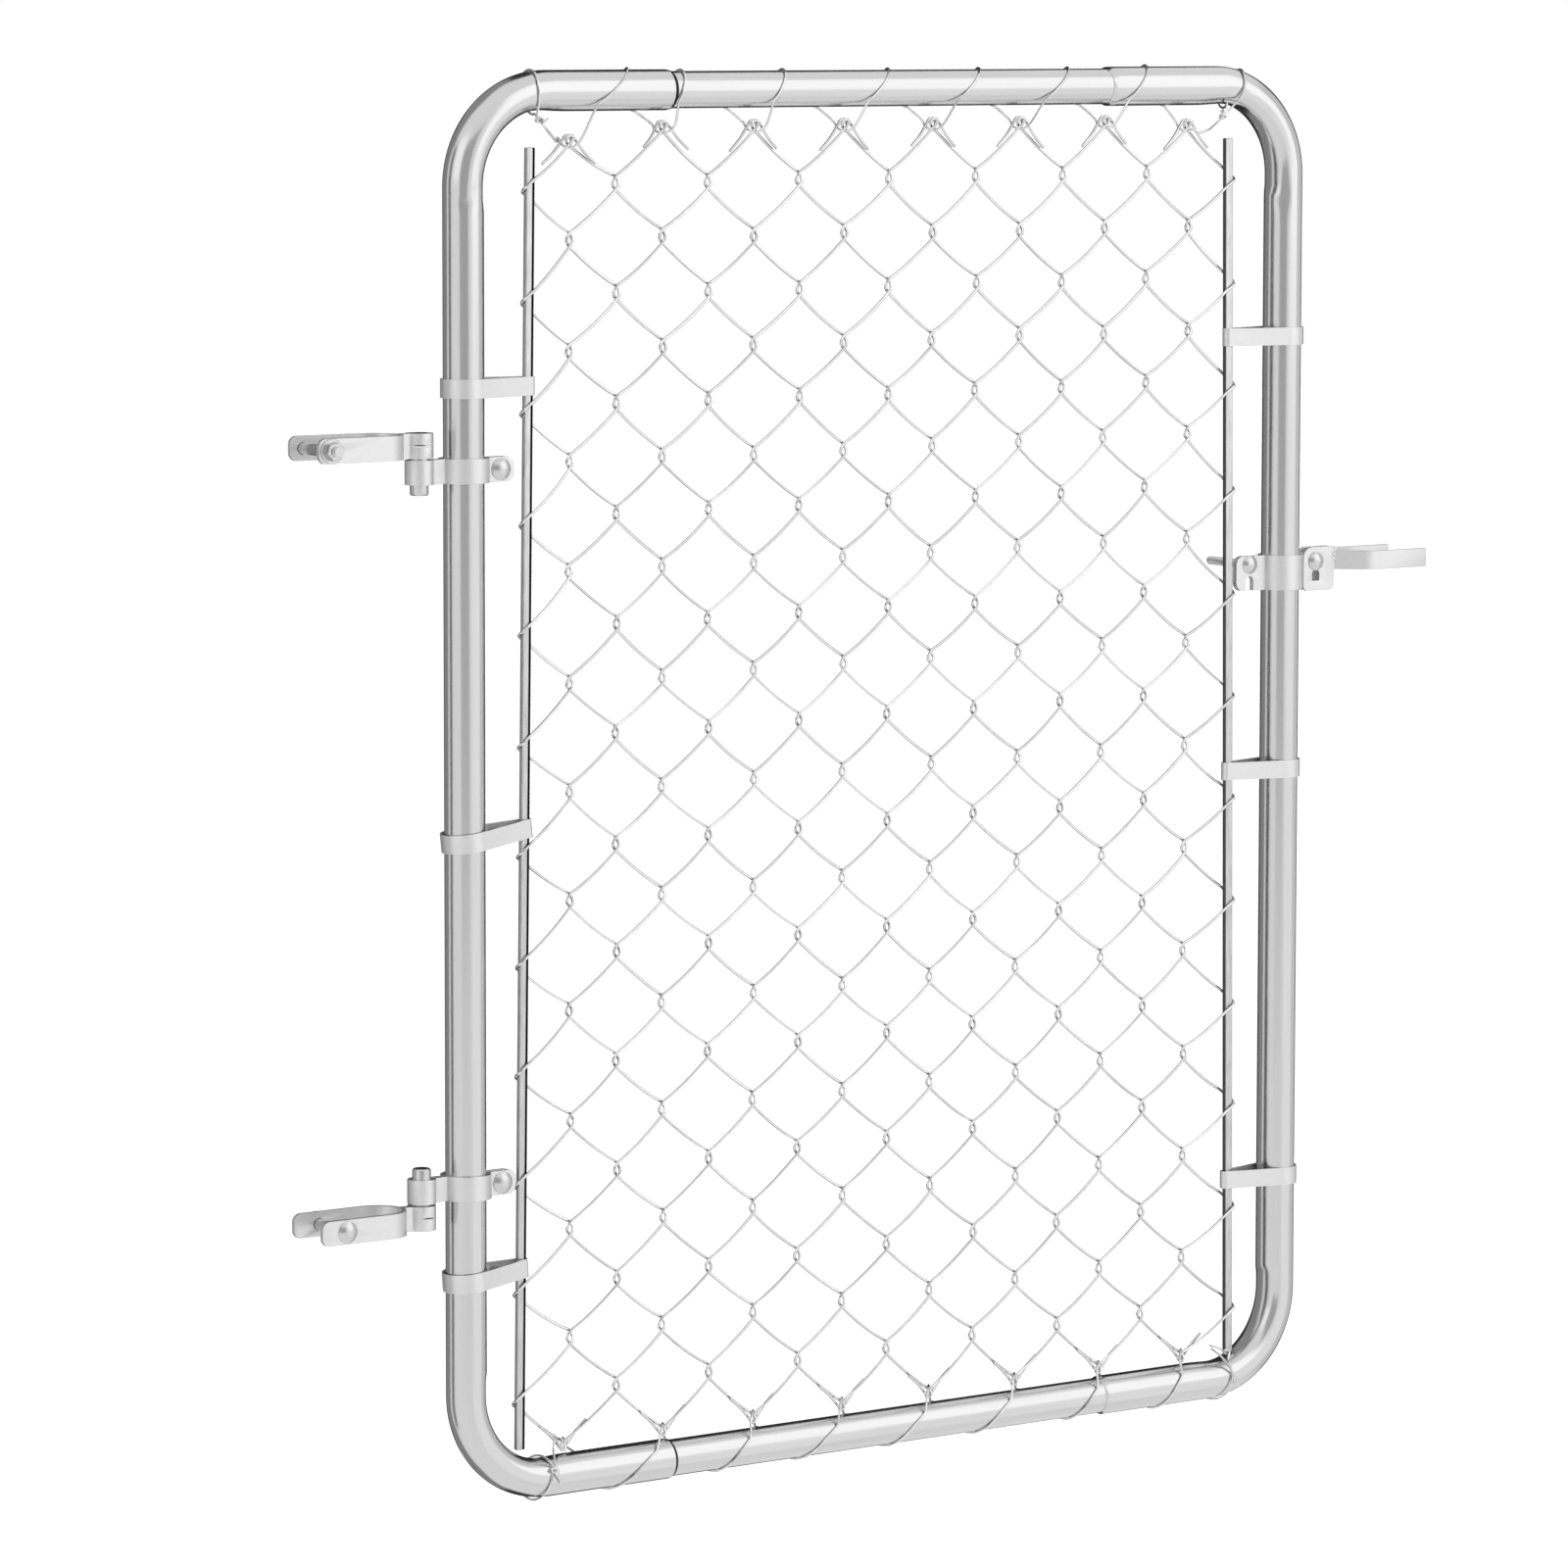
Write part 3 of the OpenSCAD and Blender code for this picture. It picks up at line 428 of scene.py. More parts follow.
def top_lacing():
    """The wire that laces the fabric's top peaks to the top rail."""
    d = bpy.context.scene.gate_wire.tie_d
    points = [Vector((73, -TUBE_R - 1.0, TOP_Z - 23)), Vector((68, -TUBE_R - 0.5, TOP_Z - 26))]
    points += knot(65.5, -TUBE_R - 0.5, TOP_Z - 24, 2.8, 1.6)
    points += round_the_rail([(66, -46, 1.2), (64, 0), (65, 55, -0.6), (66, 95, -1.0), (67, 140, -0.7), (70, 190), (70, 240, 0.6),
                              (68, 285, 1.5)], TOP_Z, d)
    points += [Vector((69, -16, TOP_Z - 28)), Vector((82, -10, TOP_Z - 38)), Vector((92, -2, TOP_Z - 43))]
    for k in range(8):
        dx, dz = TOP_SHIFT.get(2 * k + 1, (0, 0))
        x = COLUMN_0 + (2 * k + 1) * COLUMN + dx
        z = PEAK_TOP_Z + dz
        points += [Vector((x - 6.5, 7, z + 1.5)), Vector((x - 4.4, 5.4, z - 3.4)), Vector((x - 0.5, 0.8, z - 6.6)),
                   Vector((x + 4.0, -4.6, z - 4.6))]
        if k < 7:
            points += [Vector((x + 7.5, -8.0, z + 0.8))]
            lead = TOP_LEADS[k]
            over = x + lead
            under = x + 2 * COLUMN - 27
            points += round_the_rail([(x + 2 + lead * 0.30, -36, 1.0), (x + lead * 0.58, 0), (x + lead * 0.84, 45), (over, 90),
                                      (over + 4, 135), ((over + under) / 2, 185), (under - 2, 230), (under + 2, 252, 0.5)], TOP_Z, d)
    points += [Vector((777, -7, TOP_Z - 42)), Vector((785, -9, TOP_Z - 40)), Vector((793, -12.5, TOP_Z - 33))]
    points += round_the_rail([(813, -42, 2.5), (819, -5), (823, 45, -2.0), (827, 90, -4.2), (826, 130, -3.2), (820, 180), (812, 240, 1.0),
                              (806, 290, 1.8), (803, 310, 2.2)], TOP_Z, d)
    points += knot(798.5, -TUBE_R + 2.0, TOP_Z - 27.5, 2.4, 1.8)
    points += [Vector((800, -TUBE_R + 5.5, TOP_Z - 22)), Vector((796, -TUBE_R + 4.0, TOP_Z - 23.5))]
    return smooth_path(points, 2.2)


def foot_lacing():
    """The wire that laces the fabric's bottom peaks to the bottom rail."""
    d = bpy.context.scene.gate_wire.tie_d
    points = [Vector((84, -TUBE_R - 1.6, FOOT_Z - 4)), Vector((80, -TUBE_R - 2.4, FOOT_Z + 4))]
    points += knot(77, -TUBE_R - 2.0, FOOT_Z + 9, 2.6, 1.4)
    points += round_the_rail([(76, 22), (71, -30), (65.5, -80), (63, -130), (65, -190), (72, -250), (77, -305), (79, -332, 1.0)], FOOT_Z, d)
    points += [Vector((79, -14, FOOT_Z + 22)), Vector((81, -11, FOOT_Z + 30)), Vector((85, -9, FOOT_Z + 32))]
    for k in range(8):
        x = COLUMN_0 + (2 * k + 1) * COLUMN
        peak = x + FOOT_SHIFT.get(2 * k + 1, (0, 0))[0]
        z = PEAK_FOOT_Z
        points += [Vector((peak - 7.5, -8.0, z - 0.8)), Vector((peak - 4.0, -4.6, z + 4.6)), Vector((peak + 0.5, 0.8, z + 6.6)),
                   Vector((peak + 4.4, 5.4, z + 3.4)), Vector((peak + 6.5, 7, z - 1.5))]
        if k < 7:
            lead = FOOT_LEADS[k]
            under = x + lead
            back = under - 16
            ahead = 2 * COLUMN - lead
            points += round_the_rail([(x + 9, 124, 0.5), (x + 9 + lead * 0.25, 150), (back, 185), (under - 5, 228), (under, 270),
                                      (under + ahead * 0.18, 315), (under + ahead * 0.42, 360), (under + ahead * 0.72, 398, 0.8)], FOOT_Z, d)
    points += round_the_rail([(779, 126, 0.5), (783, 155), (793, 205), (804, 262), (809, 300, 0.5), (813, 330, 1.0), (815.5, 365, 0.6),
                              (818, 400), (819.5, 425, 0.8)], FOOT_Z, d)
    points += knot(820, -6.5, FOOT_Z + 24, 2.4, 1.8)
    points += [Vector((813, -3, FOOT_Z + 28)), Vector((805, 0.5, FOOT_Z + 31))]
    return smooth_path(points, 2.2)


def foot_tail():
    """The loose end that crosses the last turn of the foot lacing."""
    return smooth_path([Vector((803.5, -3, FOOT_Z + 29)), Vector((809, -11, FOOT_Z + 22)), Vector((814, -17.5, FOOT_Z + 12)),
                        Vector((819, -20.5, FOOT_Z + 2)), Vector((823, -20.5, FOOT_Z - 7))], 2.2)


# Round pieces along Y

def revolve(bm, profile, steps=40):
    """Spins a profile of (radius, y) in mm about the Y axis into bm, as a closed skin."""
    verts = [bm.verts.new((r, y, 0)) for r, y in profile]
    edges = [bm.edges.new(pair) for pair in zip(verts, verts[1:])]
    bmesh.ops.spin(bm, geom=verts + edges, cent=(0, 0, 0), axis=(0, 1, 0), dvec=(0, 0, 0),
                   angle=2 * math.pi, steps=steps, use_merge=True, use_normal_flip=False, use_duplicate=False)
    bmesh.ops.remove_doubles(bm, verts=bm.verts, dist=1e-4)


def thread(bm, r, y0, y1, pitch=1.6, depth=0.85, steps=20):
    """Spins one tooth of a thread along a helix from y0 to y1."""
    turns = (y1 - y0) / pitch
    teeth = [(r - depth, 0), (r - depth * 0.85, pitch * 0.12), (r, pitch * 0.42), (r, pitch * 0.58),
             (r - depth * 0.85, pitch * 0.88), (r - depth, pitch)]
    verts = [bm.verts.new((a, y0 + b - pitch, 0)) for a, b in teeth]
    edges = [bm.edges.new(pair) for pair in zip(verts, verts[1:])]
    count = int(steps * turns)
    bmesh.ops.spin(bm, geom=verts + edges, cent=(0, 0, 0), axis=(0, 1, 0), dvec=(0, pitch / steps, 0),
                   angle=2 * math.pi * count / steps, steps=count, use_merge=False, use_normal_flip=False, use_duplicate=False)


def bolt_mesh(r, length, head_r, head_h, threaded, square):
    """A carriage bolt: a low dome, a square neck and a rolled thread with a cut end."""
    bm = bmesh.new()
    ball = (head_r ** 2 + head_h ** 2) / (2 * head_h)
    dome = []
    reach = math.asin(head_r / ball)
    for k in range(11):
        a = reach * k / 10
        dome.append((ball * math.sin(a), -head_h + ball * (1 - math.cos(a))))
    dome[-1] = (head_r - 0.15, -0.45)
    profile = dome + [(head_r, -0.2), (head_r - 0.25, 0), (r, 0), (r, length - threaded), (r - 0.85, length - threaded + 0.3),
                      (r - 0.85, length), (0, length)]
    revolve(bm, profile)
    thread(bm, r, length - threaded + 1.6, length - 0.6)
    if square:
        neck = bmesh.ops.create_cube(bm, size=1.0)["verts"]
        bmesh.ops.scale(bm, verts=neck, vec=(2 * r, square, 2 * r))
        bmesh.ops.translate(bm, verts=neck, vec=(0, square / 2, 0))
    bmesh.ops.recalc_face_normals(bm, faces=bm.faces)
    return bm


def nut_mesh(r, height, bolt_r):
    """A hexagon nut with rounded corners on both faces and a flat inset ring round the bolt."""
    bm = bmesh.new()
    made = bmesh.ops.create_circle(bm, cap_ends=True, cap_tris=False, segments=6, radius=r)
    bmesh.ops.rotate(bm, verts=bm.verts, cent=(0, 0, 0), matrix=Matrix.Rotation(math.radians(90), 3, "X"))
    bmesh.ops.rotate(bm, verts=bm.verts, cent=(0, 0, 0), matrix=Matrix.Rotation(math.radians(30), 3, "Y"))
    face = [f for f in bm.faces][0]
    grown = bmesh.ops.extrude_face_region(bm, geom=[face])
    top = [g for g in grown["geom"] if isinstance(g, bmesh.types.BMVert)]
    bmesh.ops.translate(bm, verts=top, vec=(0, height, 0))
    bmesh.ops.recalc_face_normals(bm, faces=bm.faces)
    for v in bm.verts:
        v.co.y = min(max(v.co.y, 0), height)
    ends = [f for f in bm.faces if abs(f.normal.y) > 0.9]
    for f in ends:
        bmesh.ops.inset_region(bm, faces=[f], thickness=r * 0.1, depth=0.0, use_even_offset=True)
    rim = [v for v in bm.verts if math.hypot(v.co.x, v.co.z) > r * 0.98]
    for v in rim:
        v.co.y += 0.09 * r if v.co.y < height / 2 else -0.09 * r
    bmesh.ops.bevel(bm, geom=[e for e in bm.edges if e.calc_face_angle(0) > 0.3], offset=0.35, segments=2,
                    affect="EDGES", profile=0.5, material=-1, clamp_overlap=True)
    for f in [f for f in bm.faces if abs(f.normal.y) > 0.98 and f.calc_area() > r * r * 0.8]:
        bmesh.ops.inset_region(bm, faces=[f], thickness=(r * 0.9 - bolt_r - 1.0) * 0.7, depth=0.0, use_even_offset=True)
    bmesh.ops.recalc_face_normals(bm, faces=bm.faces)
    return bm


def washer_mesh(r, thickness, hole):
    bm = bmesh.new()
    revolve(bm, [(hole, 0), (r - 0.3, 0), (r, 0.3), (r, thickness - 0.4), (r - 0.4, thickness), (hole, thickness), (hole, 0)])
    bmesh.ops.recalc_face_normals(bm, faces=bm.faces)
    return bm


def set_at(bm, x, y, z, back=False, spin=0.0):
    """Moves a piece drawn along +Y in mm to a place of the scene, in metres."""
    turn = Matrix.Rotation(math.pi, 4, "Z") if back else Matrix.Identity(4)
    roll = Matrix.Rotation(math.radians(spin), 4, "Y")
    bmesh.ops.transform(bm, matrix=Matrix.Translation((x, y, z)) @ turn @ roll @ Matrix.Scale(MM, 4), verts=bm.verts)
    return bm


def softened(node, name, width, slot, angle=40, bend=0):
    """A copy of a solid with its doubles merged, flat faces joined and edges rounded."""
    bm = bmesh.new()
    bm.from_mesh(frame["nodes"][node].data)
    bmesh.ops.remove_doubles(bm, verts=bm.verts, dist=2e-6)
    bmesh.ops.dissolve_limit(bm, angle_limit=math.radians(0.4), use_dissolve_boundaries=False,
                             verts=bm.verts, edges=bm.edges, delimit=set())
    bmesh.ops.recalc_face_normals(bm, faces=bm.faces)
    if bend:
        tip = max(v.co.x for v in bm.verts)
        soft = [e for e in bm.edges if len(e.link_faces) == 2 and 0.2 < e.calc_face_angle(0) < 1.2
                and abs((e.verts[0].co - e.verts[1].co).normalized().z) > 0.99 and e.verts[0].co.x > tip - 80 * MM]
        bmesh.ops.bevel(bm, geom=soft, offset=bend * MM, segments=8, affect="EDGES", profile=0.5, material=-1,
                        clamp_overlap=True, offset_type="OFFSET", loop_slide=True)
    hard = [e for e in bm.edges if len(e.link_faces) == 2 and e.calc_face_angle(0) > math.radians(angle)]
    bmesh.ops.bevel(bm, geom=hard, offset=width * MM, segments=2, affect="EDGES", profile=0.5, material=-1,
                    clamp_overlap=True, offset_type="OFFSET", loop_slide=True)
    piece = finish_piece(name, bm, sharp=26)
    return fit(piece, body_of(node), slot, finishes()[slot], node)


# Operators

class GATE_OT_fabric(bpy.types.Operator):
    """Weaves the chain link fabric: sixteen spirals that hang in each other"""
    bl_idname = "gate.fabric"
    bl_label = "Weave the fabric"

    def execute(self, context):
        p = context.scene.gate_wire
        piece = wire_mesh("woven_fabric", [spiral_path(i) for i in range(SPIRALS)], p.wire_d, 2)
        fit(piece, "leaf", "wire", finishes()["wire"], "chain_link_fabric")
        return {"FINISHED"}


class GATE_OT_lacing(bpy.types.Operator):
    """Laces the fabric to the top and bottom rails"""
    bl_idname = "gate.lacing"
    bl_label = "Lace the fabric"

    def execute(self, context):
        p = context.scene.gate_wire
        for name, paths, node in (("top_lacing", [top_lacing()], "top_tie_wire"),
                                  ("foot_lacing", [foot_lacing(), foot_tail()], "bottom_tie_wire")):
            piece = wire_mesh(name, paths, p.tie_d, 2)
            fit(piece, "leaf", "wire", finishes()["wire"], node)
        return {"FINISHED"}


class GATE_OT_straps(bpy.types.Operator):
    """Softens the pressed straps, collars, fork, pins and band bolts"""
    bl_idname = "gate.straps"
    bl_label = "Soften the straps"

    def execute(self, context):
        w = context.scene.gate_steel.edge
        for node in frame["nodes"]:
            if "_band_" in node and not node.endswith("bolts"):
                softened(node, node + "_strap", w * 0.8, "strap")
            elif node.endswith("_hinge") or node.endswith("collar"):
                softened(node, node + "_strap", w, "strap")
            elif node == "latch_fork":
                softened(node, "fork_plates", w, "strap", bend=9)
            elif node.endswith("pin"):
                softened(node, node + "_turned", w * 0.6, "bolt", 30)
            elif node.endswith("band_bolts"):
                softened(node, node + "_set", w * 0.4, "bolt", 30)
        return {"FINISHED"}


class GATE_OT_bars(bpy.types.Operator):
    """Rolls the two tension bars, flat with rounded corners"""
    bl_idname = "gate.bars"
    bl_label = "Roll the bars"

    def execute(self, context):
        s = context.scene.gate_steel
        for node, middle, lean, left, right, scale in (
            # The last column is the colour of the painted shade line along each bar's edges
            ("left_tension_bar", BAR_X, 0.67, (-5.0, -6.0), (1.1, 1.6), "#050505"),
            ("right_tension_bar", SPAN - BAR_X, -0.5, (-3.4, -3.9), (3.3, 3.8), "#686868"),
        ):
            lo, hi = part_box(node)
            lo.z -= 3 * MM if node.startswith("left") else 6 * MM
            long = (hi.z - lo.z) / MM
            bm = bmesh.new()
            bmesh.ops.create_cube(bm, size=1.0)
            bmesh.ops.scale(bm, verts=bm.verts, vec=(s.bar_w, s.bar_t, long))
            upright = [e for e in bm.edges if abs(e.verts[0].co.z - e.verts[1].co.z) > 1]
            bmesh.ops.bevel(bm, geom=upright, offset=0.8, segments=3, affect="EDGES", profile=0.5, material=-1, clamp_overlap=True)
            rims = [e for e in bm.edges if abs(e.verts[0].co.z - e.verts[1].co.z) < 0.01]
            bmesh.ops.bevel(bm, geom=rims, offset=0.9, segments=3, affect="EDGES", profile=0.5, material=-1, clamp_overlap=True)
            turn = Matrix.Rotation(math.radians(lean), 4, "Y")
            place = Matrix.Translation((*at(middle, 0, 0).to_2d(), (lo.z + hi.z) / 2))
            bmesh.ops.transform(bm, matrix=place @ turn @ Matrix.Scale(MM, 4), verts=bm.verts)
            bmesh.ops.recalc_face_normals(bm, faces=bm.faces)
            centre = at(middle, 0, BAR_MID_Z)
            material = bar_steel(node + "_rolled_steel", s.bar_colour, centre, lean, left, right, scale)
            fit(finish_piece(node + "_rolled", bm, sharp=50), "leaf", "bar", material, node)
        return {"FINISHED"}


class GATE_OT_joints(bpy.types.Operator):
    """Puts rings of dark painted shade round the ends of the hinge side arms on the rails and welds the fork's prong"""
    bl_idname = "gate.joints"
    bl_label = "Close the joints"

    def execute(self, context):
        # Rings of painted shade: dark bands where the rails go into the left arms' ends, standing for the shadowed gap
        # there
        for name, x, z, width in (("top_joint_ring", ARM, TOP_Z, 3.6), ("foot_joint_ring", ARM, FOOT_Z, 2.8)):
            bm = bmesh.new()
            revolve(bm, [(RAIL_R + 0.02, 0), (RAIL_R + 0.9, 0), (RAIL_R + 0.9, width - 0.6), (RAIL_R + 0.5, width), (RAIL_R + 0.02, width)], 64)
            bmesh.ops.rotate(bm, verts=bm.verts, cent=(0, 0, 0), matrix=Matrix.Rotation(math.radians(-90), 3, "Z"))
            bmesh.ops.transform(bm, matrix=Matrix.Translation(at(x, 0, z)) @ Matrix.Scale(MM, 4), verts=bm.verts)
            bmesh.ops.recalc_face_normals(bm, faces=bm.faces)
            fit(finish_piece(name, bm), "leaf", "tube", finishes()["seam"])
        bm = bmesh.new()
        for k in range(7):
            ball = bmesh.ops.create_icosphere(bm, subdivisions=2, radius=1.0)["verts"]
            size = 1.9 + 0.7 * wave(k, 3, 1)
            bmesh.ops.scale(bm, verts=ball, vec=(size * 1.2, size * 0.8, size * (1 + 0.3 * wave(k, 1, 2))))
            bmesh.ops.translate(bm, verts=ball, vec=(SPAN + 59.6 + 1.3 * wave(k, 5, 2), -5.4 - 0.5 * wave(k, 2, 2), 767.5 + 1.45 * k))
        bmesh.ops.transform(bm, matrix=Matrix.Scale(MM, 4) @ Matrix.Translation(PLACE), verts=bm.verts)
        fit(finish_piece("fork_weld", bm), "fork", "strap", finishes()["strap"])
        # The slits are thin near black wires of painted shade along the staked arcs, where the slits fall in shadow;
        # the lips are a raised rib of strap steel along the same arcs
        for name, drop, thick, finish in (("stake_slits", -0.7, 0.9, "seam"), ("stake_lips", 0.5, 1.5, "strap")):
            piece = wire_mesh(name, [stake_arc("upper", -60, 2, drop), stake_arc("lower", -34, 32, drop)], thick, 1)
            fit(piece, "post_hinges", "strap", finishes()[finish])
        return {"FINISHED"}


def stake_arc(place, first, last, drop):
    """Arc in mm on a post hinge's barrel where the pin is staked; angles count from the front."""
    lo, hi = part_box(place + "_hinge_pin")
    low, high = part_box(place + "_post_hinge")
    centre = Vector(((lo.x + hi.x) / 2, (lo.y + hi.y) / 2, (low.z + high.z) / 2))
    front = [(v.co - centre).to_2d().length for v in frame["nodes"][place + "_post_hinge"].data.vertices
             if v.co.y < centre.y and abs(v.co.x - centre.x) < 4 * MM]
    r = max(d for d in front if d < 16 * MM)
    out = []
    for k in range(13):
        a = math.radians(first + (last - first) * k / 12)
        spot = centre + Vector((r * math.sin(a), -r * math.cos(a), -drop * MM * math.sin(math.pi * k / 12)))
        out.append(spot / MM - PLACE)
    return out


def tube_run():
    """Centreline of a side tube from its top arm's end to its foot arm's, closer where it is bent."""
    top, foot = TOP_Z - BEND_R, FOOT_Z + BEND_R
    run = [Vector((ARM - 6 * k, 0, TOP_Z)) for k in range(21)]
    run += [Vector((BEND_R - BEND_R * math.sin(a), 0, top + BEND_R * math.cos(a))) for a in (math.pi / 2 * k / 44 for k in range(45))]
    drops = [2.5 * k for k in range(1, 25)]
    middle = [top - 62.5 - (top - foot - 125) * k / 60 for k in range(61)]
    run += [Vector((0, 0, top - v)) for v in drops] + [Vector((0, 0, z)) for z in middle]
    run += [Vector((0, 0, foot + v)) for v in reversed(drops)]
    run += [Vector((BEND_R - BEND_R * math.cos(a), 0, foot - BEND_R * math.sin(a))) for a in (math.pi / 2 * k / 44 for k in range(45))]
    run += [Vector((ARM - 6 * k, 0, FOOT_Z)) for k in range(20, -1, -1)]
    return [p for k, p in enumerate(run) if k == 0 or (p - run[k - 1]).length > 0.01]


def ramp(v, low, high):
    """0 below low and 1 above high, with a smooth rise between them."""
    t = min(1, max(0, (v - low) / (high - low)))
    return t * t * (3 - 2 * t)


def bent_tube(name, side):
    """A side tube: flattened inside its bends, with the small dents that the bending tool leaves."""
    run = tube_run()
    piece = wire_mesh(name, [[Vector((p.x if side > 0 else SPAN - p.x, p.y, p.z)) for p in run]], 2 * TUBE_R, 22, caps=False)
    mesh = piece.data
    bm = bmesh.new()
    bm.from_mesh(mesh)
    lengths = [0.0]
    for a, b in zip(run, run[1:]):
        lengths.append(lengths[-1] + (b - a).length)
    layer = bm.verts.layers.float_vector.new("run")
    dents = LEFT_DENTS if side > 0 else RIGHT_DENTS
    for v in bm.verts:
        p = v.co / MM - PLACE
        x = p.x if side > 0 else SPAN - p.x
        top = p.z > LEAF_H / 2
        level = (p.z - (TOP_Z - BEND_R)) if top else (FOOT_Z + BEND_R - p.z)
        if level > 0 and x < BEND_R:
            a = math.atan2(level, BEND_R - x)
            deep = math.hypot(BEND_R - x, level)
            along = a * BEND_R
            inward = Vector((BEND_R - x, 0, -level)) / max(deep, 1)
            centre = deep - BEND_R
        elif level > 0:
            along = BEND_R * math.pi / 2 + x - BEND_R
            inward = Vector((0, 0, -1))
            centre = level - BEND_R
        else:
            along = level
            inward = Vector((1, 0, 0))
            centre = -x
        turn = Vector((inward.x * side, 0, inward.z if top else -inward.z))
        within = max(0, -centre / TUBE_R)
        flat = ramp(along, -17, -10) * (1 - ramp(along, 95, 150))
        p += turn * (-2.1 * flat * within ** 3)
        for place, size, push in dents:
            d = p - Vector(place)
            q = (d.x / size[0]) ** 2 + (d.y / size[1]) ** 2 + (d.z / size[2]) ** 2
            if q < 6:
                p += Vector(push) * math.exp(-q)
        angle = math.atan2(p.y, centre)
        base = lengths[-1] / 2
        s = base - (LEAF_H / 2 - TUBE_R - BEND_R + along) if top else base + (LEAF_H / 2 - TUBE_R - BEND_R + along)
        v[layer] = (math.cos(angle) * TUBE_R * MM, math.sin(angle) * TUBE_R * MM, s * MM)
        v.co = (p + PLACE) * MM
    # The left arms' mouths are square under their rings of painted shade, and the right arms' taper to the rails
    lip = 0 if side > 0 else 3.5
    for _ in range(2):
        rim = [e for e in bm.edges if e.is_boundary]
        grown = bmesh.ops.extrude_edge_only(bm, edges=rim)
        for v in [g for g in grown["geom"] if isinstance(g, bmesh.types.BMVert)]:
            z = at(0, 0, TOP_Z if v.co.z > 0.35 else FOOT_Z).z
            away = Vector((0, v.co.y - PLACE.y * MM, v.co.z - z))
            if away.length > (TUBE_R - 1) * MM:
                v.co -= away.normalized() * 1.4 * MM
                v.co.x += side * lip * MM
            else:
                v.co.x -= side * 30 * MM
    bmesh.ops.recalc_face_normals(bm, faces=bm.faces)
    bm.to_mesh(mesh)
    bm.free()
    mesh.shade_smooth()
    mesh.set_sharp_from_angle(angle=math.radians(50))
    return piece


# Dents of the bends: place, size and push in mm
LEFT_DENTS = (
    ((-6.5, -16.2, 1108), (5, 6, 4.5), (0.2, 0.55, 0)),
    ((-1.5, -17.3, 1116), (4, 6, 8), (0, 0.4, 0)),
    ((17.2, -4, 1106), (5, 12, 2.5), (-0.9, 0, 0)),
    ((17.2, -4, 112.5), (5, 12, 2.5), (-1.0, 0, 0)),
    ((4.0, -16.9, 106), (5, 6, 9), (0, 0.35, 0)),
)
RIGHT_DENTS = (
    ((SPAN - 7.9, -15.6, 1104), (3.2, 5, 15), (0.35, 0.75, 0)),
    ((SPAN - 12.5, -12.2, 1096), (3.5, 6, 8), (0.4, 0.4, 0)),
    ((SPAN - 17.2, -4, 1106), (5, 12, 3), (1.1, 0, 0)),
    ((SPAN - 62, -16.5, 1196), (14, 6, 3), (0, 0.45, 0)),
    ((SPAN - 17.2, -4, 112.5), (5, 12, 2.5), (0.8, 0, 0)),
)


class GATE_OT_tubes(bpy.types.Operator):
    """Bends the two side tubes and gives the rails their galvanised finish"""
    bl_idname = "gate.tubes"
    bl_label = "Bend the tubes"

    def execute(self, context):
        for node, side in (("left_side_tube", 1), ("right_side_tube", -1)):
            fit(bent_tube(node + "_bent", side), "leaf", "tube", finishes()["tube"], node)
        for node in ("top_rail", "bottom_rail"):
            data = frame["nodes"][node].data
            data.materials.clear()
            data.materials.append(finishes()["rail"])
        return {"FINISHED"}


class GATE_OT_bolts(bpy.types.Operator):
    """Makes the carriage bolts, nuts and washers of the hinges and the latch"""
    bl_idname = "gate.bolts"
    bl_label = "Fit the bolts"

    def execute(self, context):
        bolt = finishes()["bolt"]
        for node, r, head_h, threaded, back in (
            ("upper_frame_bolt", 4.75, 4.2, 16, False),
            ("lower_frame_bolt", 4.75, 4.2, 16, False),
            ("upper_post_bolt", 4.75, 4.2, 22, True),
            ("lower_post_bolt", 4.75, 4.2, 30, False),
            ("latch_collar_bolt", 3.95, 4.0, 40, False),
            ("latch_pivot_bolt", 3.95, 4.0, 34, False),
        ):
            lo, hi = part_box(node)
            head_r = (hi.x - lo.x) / 2 / MM
            length = 62.5 if back else (hi.y - lo.y) / MM - head_h
            bm = bolt_mesh(r, length, head_r, head_h, threaded, 0)
            y = hi.y - head_h * MM if back else lo.y + head_h * MM
            set_at(bm, (lo.x + hi.x) / 2, y, (lo.z + hi.z) / 2, back)
            fit(finish_piece(node + "_threaded", bm), body_of(node), "bolt", bolt, node)
        for node, back, washer in (("upper_frame_nut", False, False), ("lower_frame_nut", False, False),
                                   ("upper_post_nut", True, True), ("lower_post_nut", False, True)):
            lo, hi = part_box(node)
            x, z = (lo.x + hi.x) / 2, (lo.z + hi.z) / 2
            pieces = []
            start = hi.y if back else lo.y
            step = -1 if back else 1
            if washer:
                flat = set_at(washer_mesh(10.5, 1.8, 4.85), x, start, z, back)
                pieces.append(flat)
                start += step * 1.85 * MM
            pieces.append(set_at(nut_mesh(8.2, 6.5 if back else 8.0, 4.75), x, start, z, back, 12))
            fit(join_sets(node + "_hexagon", pieces), body_of(node), "bolt", bolt, node)
        lo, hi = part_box("latch_nuts")
        z = (lo.z + hi.z) / 2
        sets = []
        for x in (lo.x + 6.9 * MM, hi.x - 6.9 * MM):
            y = lo.y if x < (lo.x + hi.x) / 2 else hi.y - 6.5 * MM
            sets.append(set_at(nut_mesh(6.9, 6.5, 3.95), x, y, z, False, 20))
        fit(join_sets("latch_nut_pair", sets), "leaf", "bolt", bolt, "latch_nuts")
        return {"FINISHED"}


def join_sets(name, sets):
    """One piece from several bmeshes."""
    mesh = bpy.data.meshes.new(name)
    whole = bmesh.new()
    for bm in sets:
        part = bpy.data.meshes.new(name + "_part")
        bm.to_mesh(part)
        bm.free()
        whole.from_mesh(part)
        bpy.data.meshes.remove(part)
    return finish_piece(name, whole, mesh)


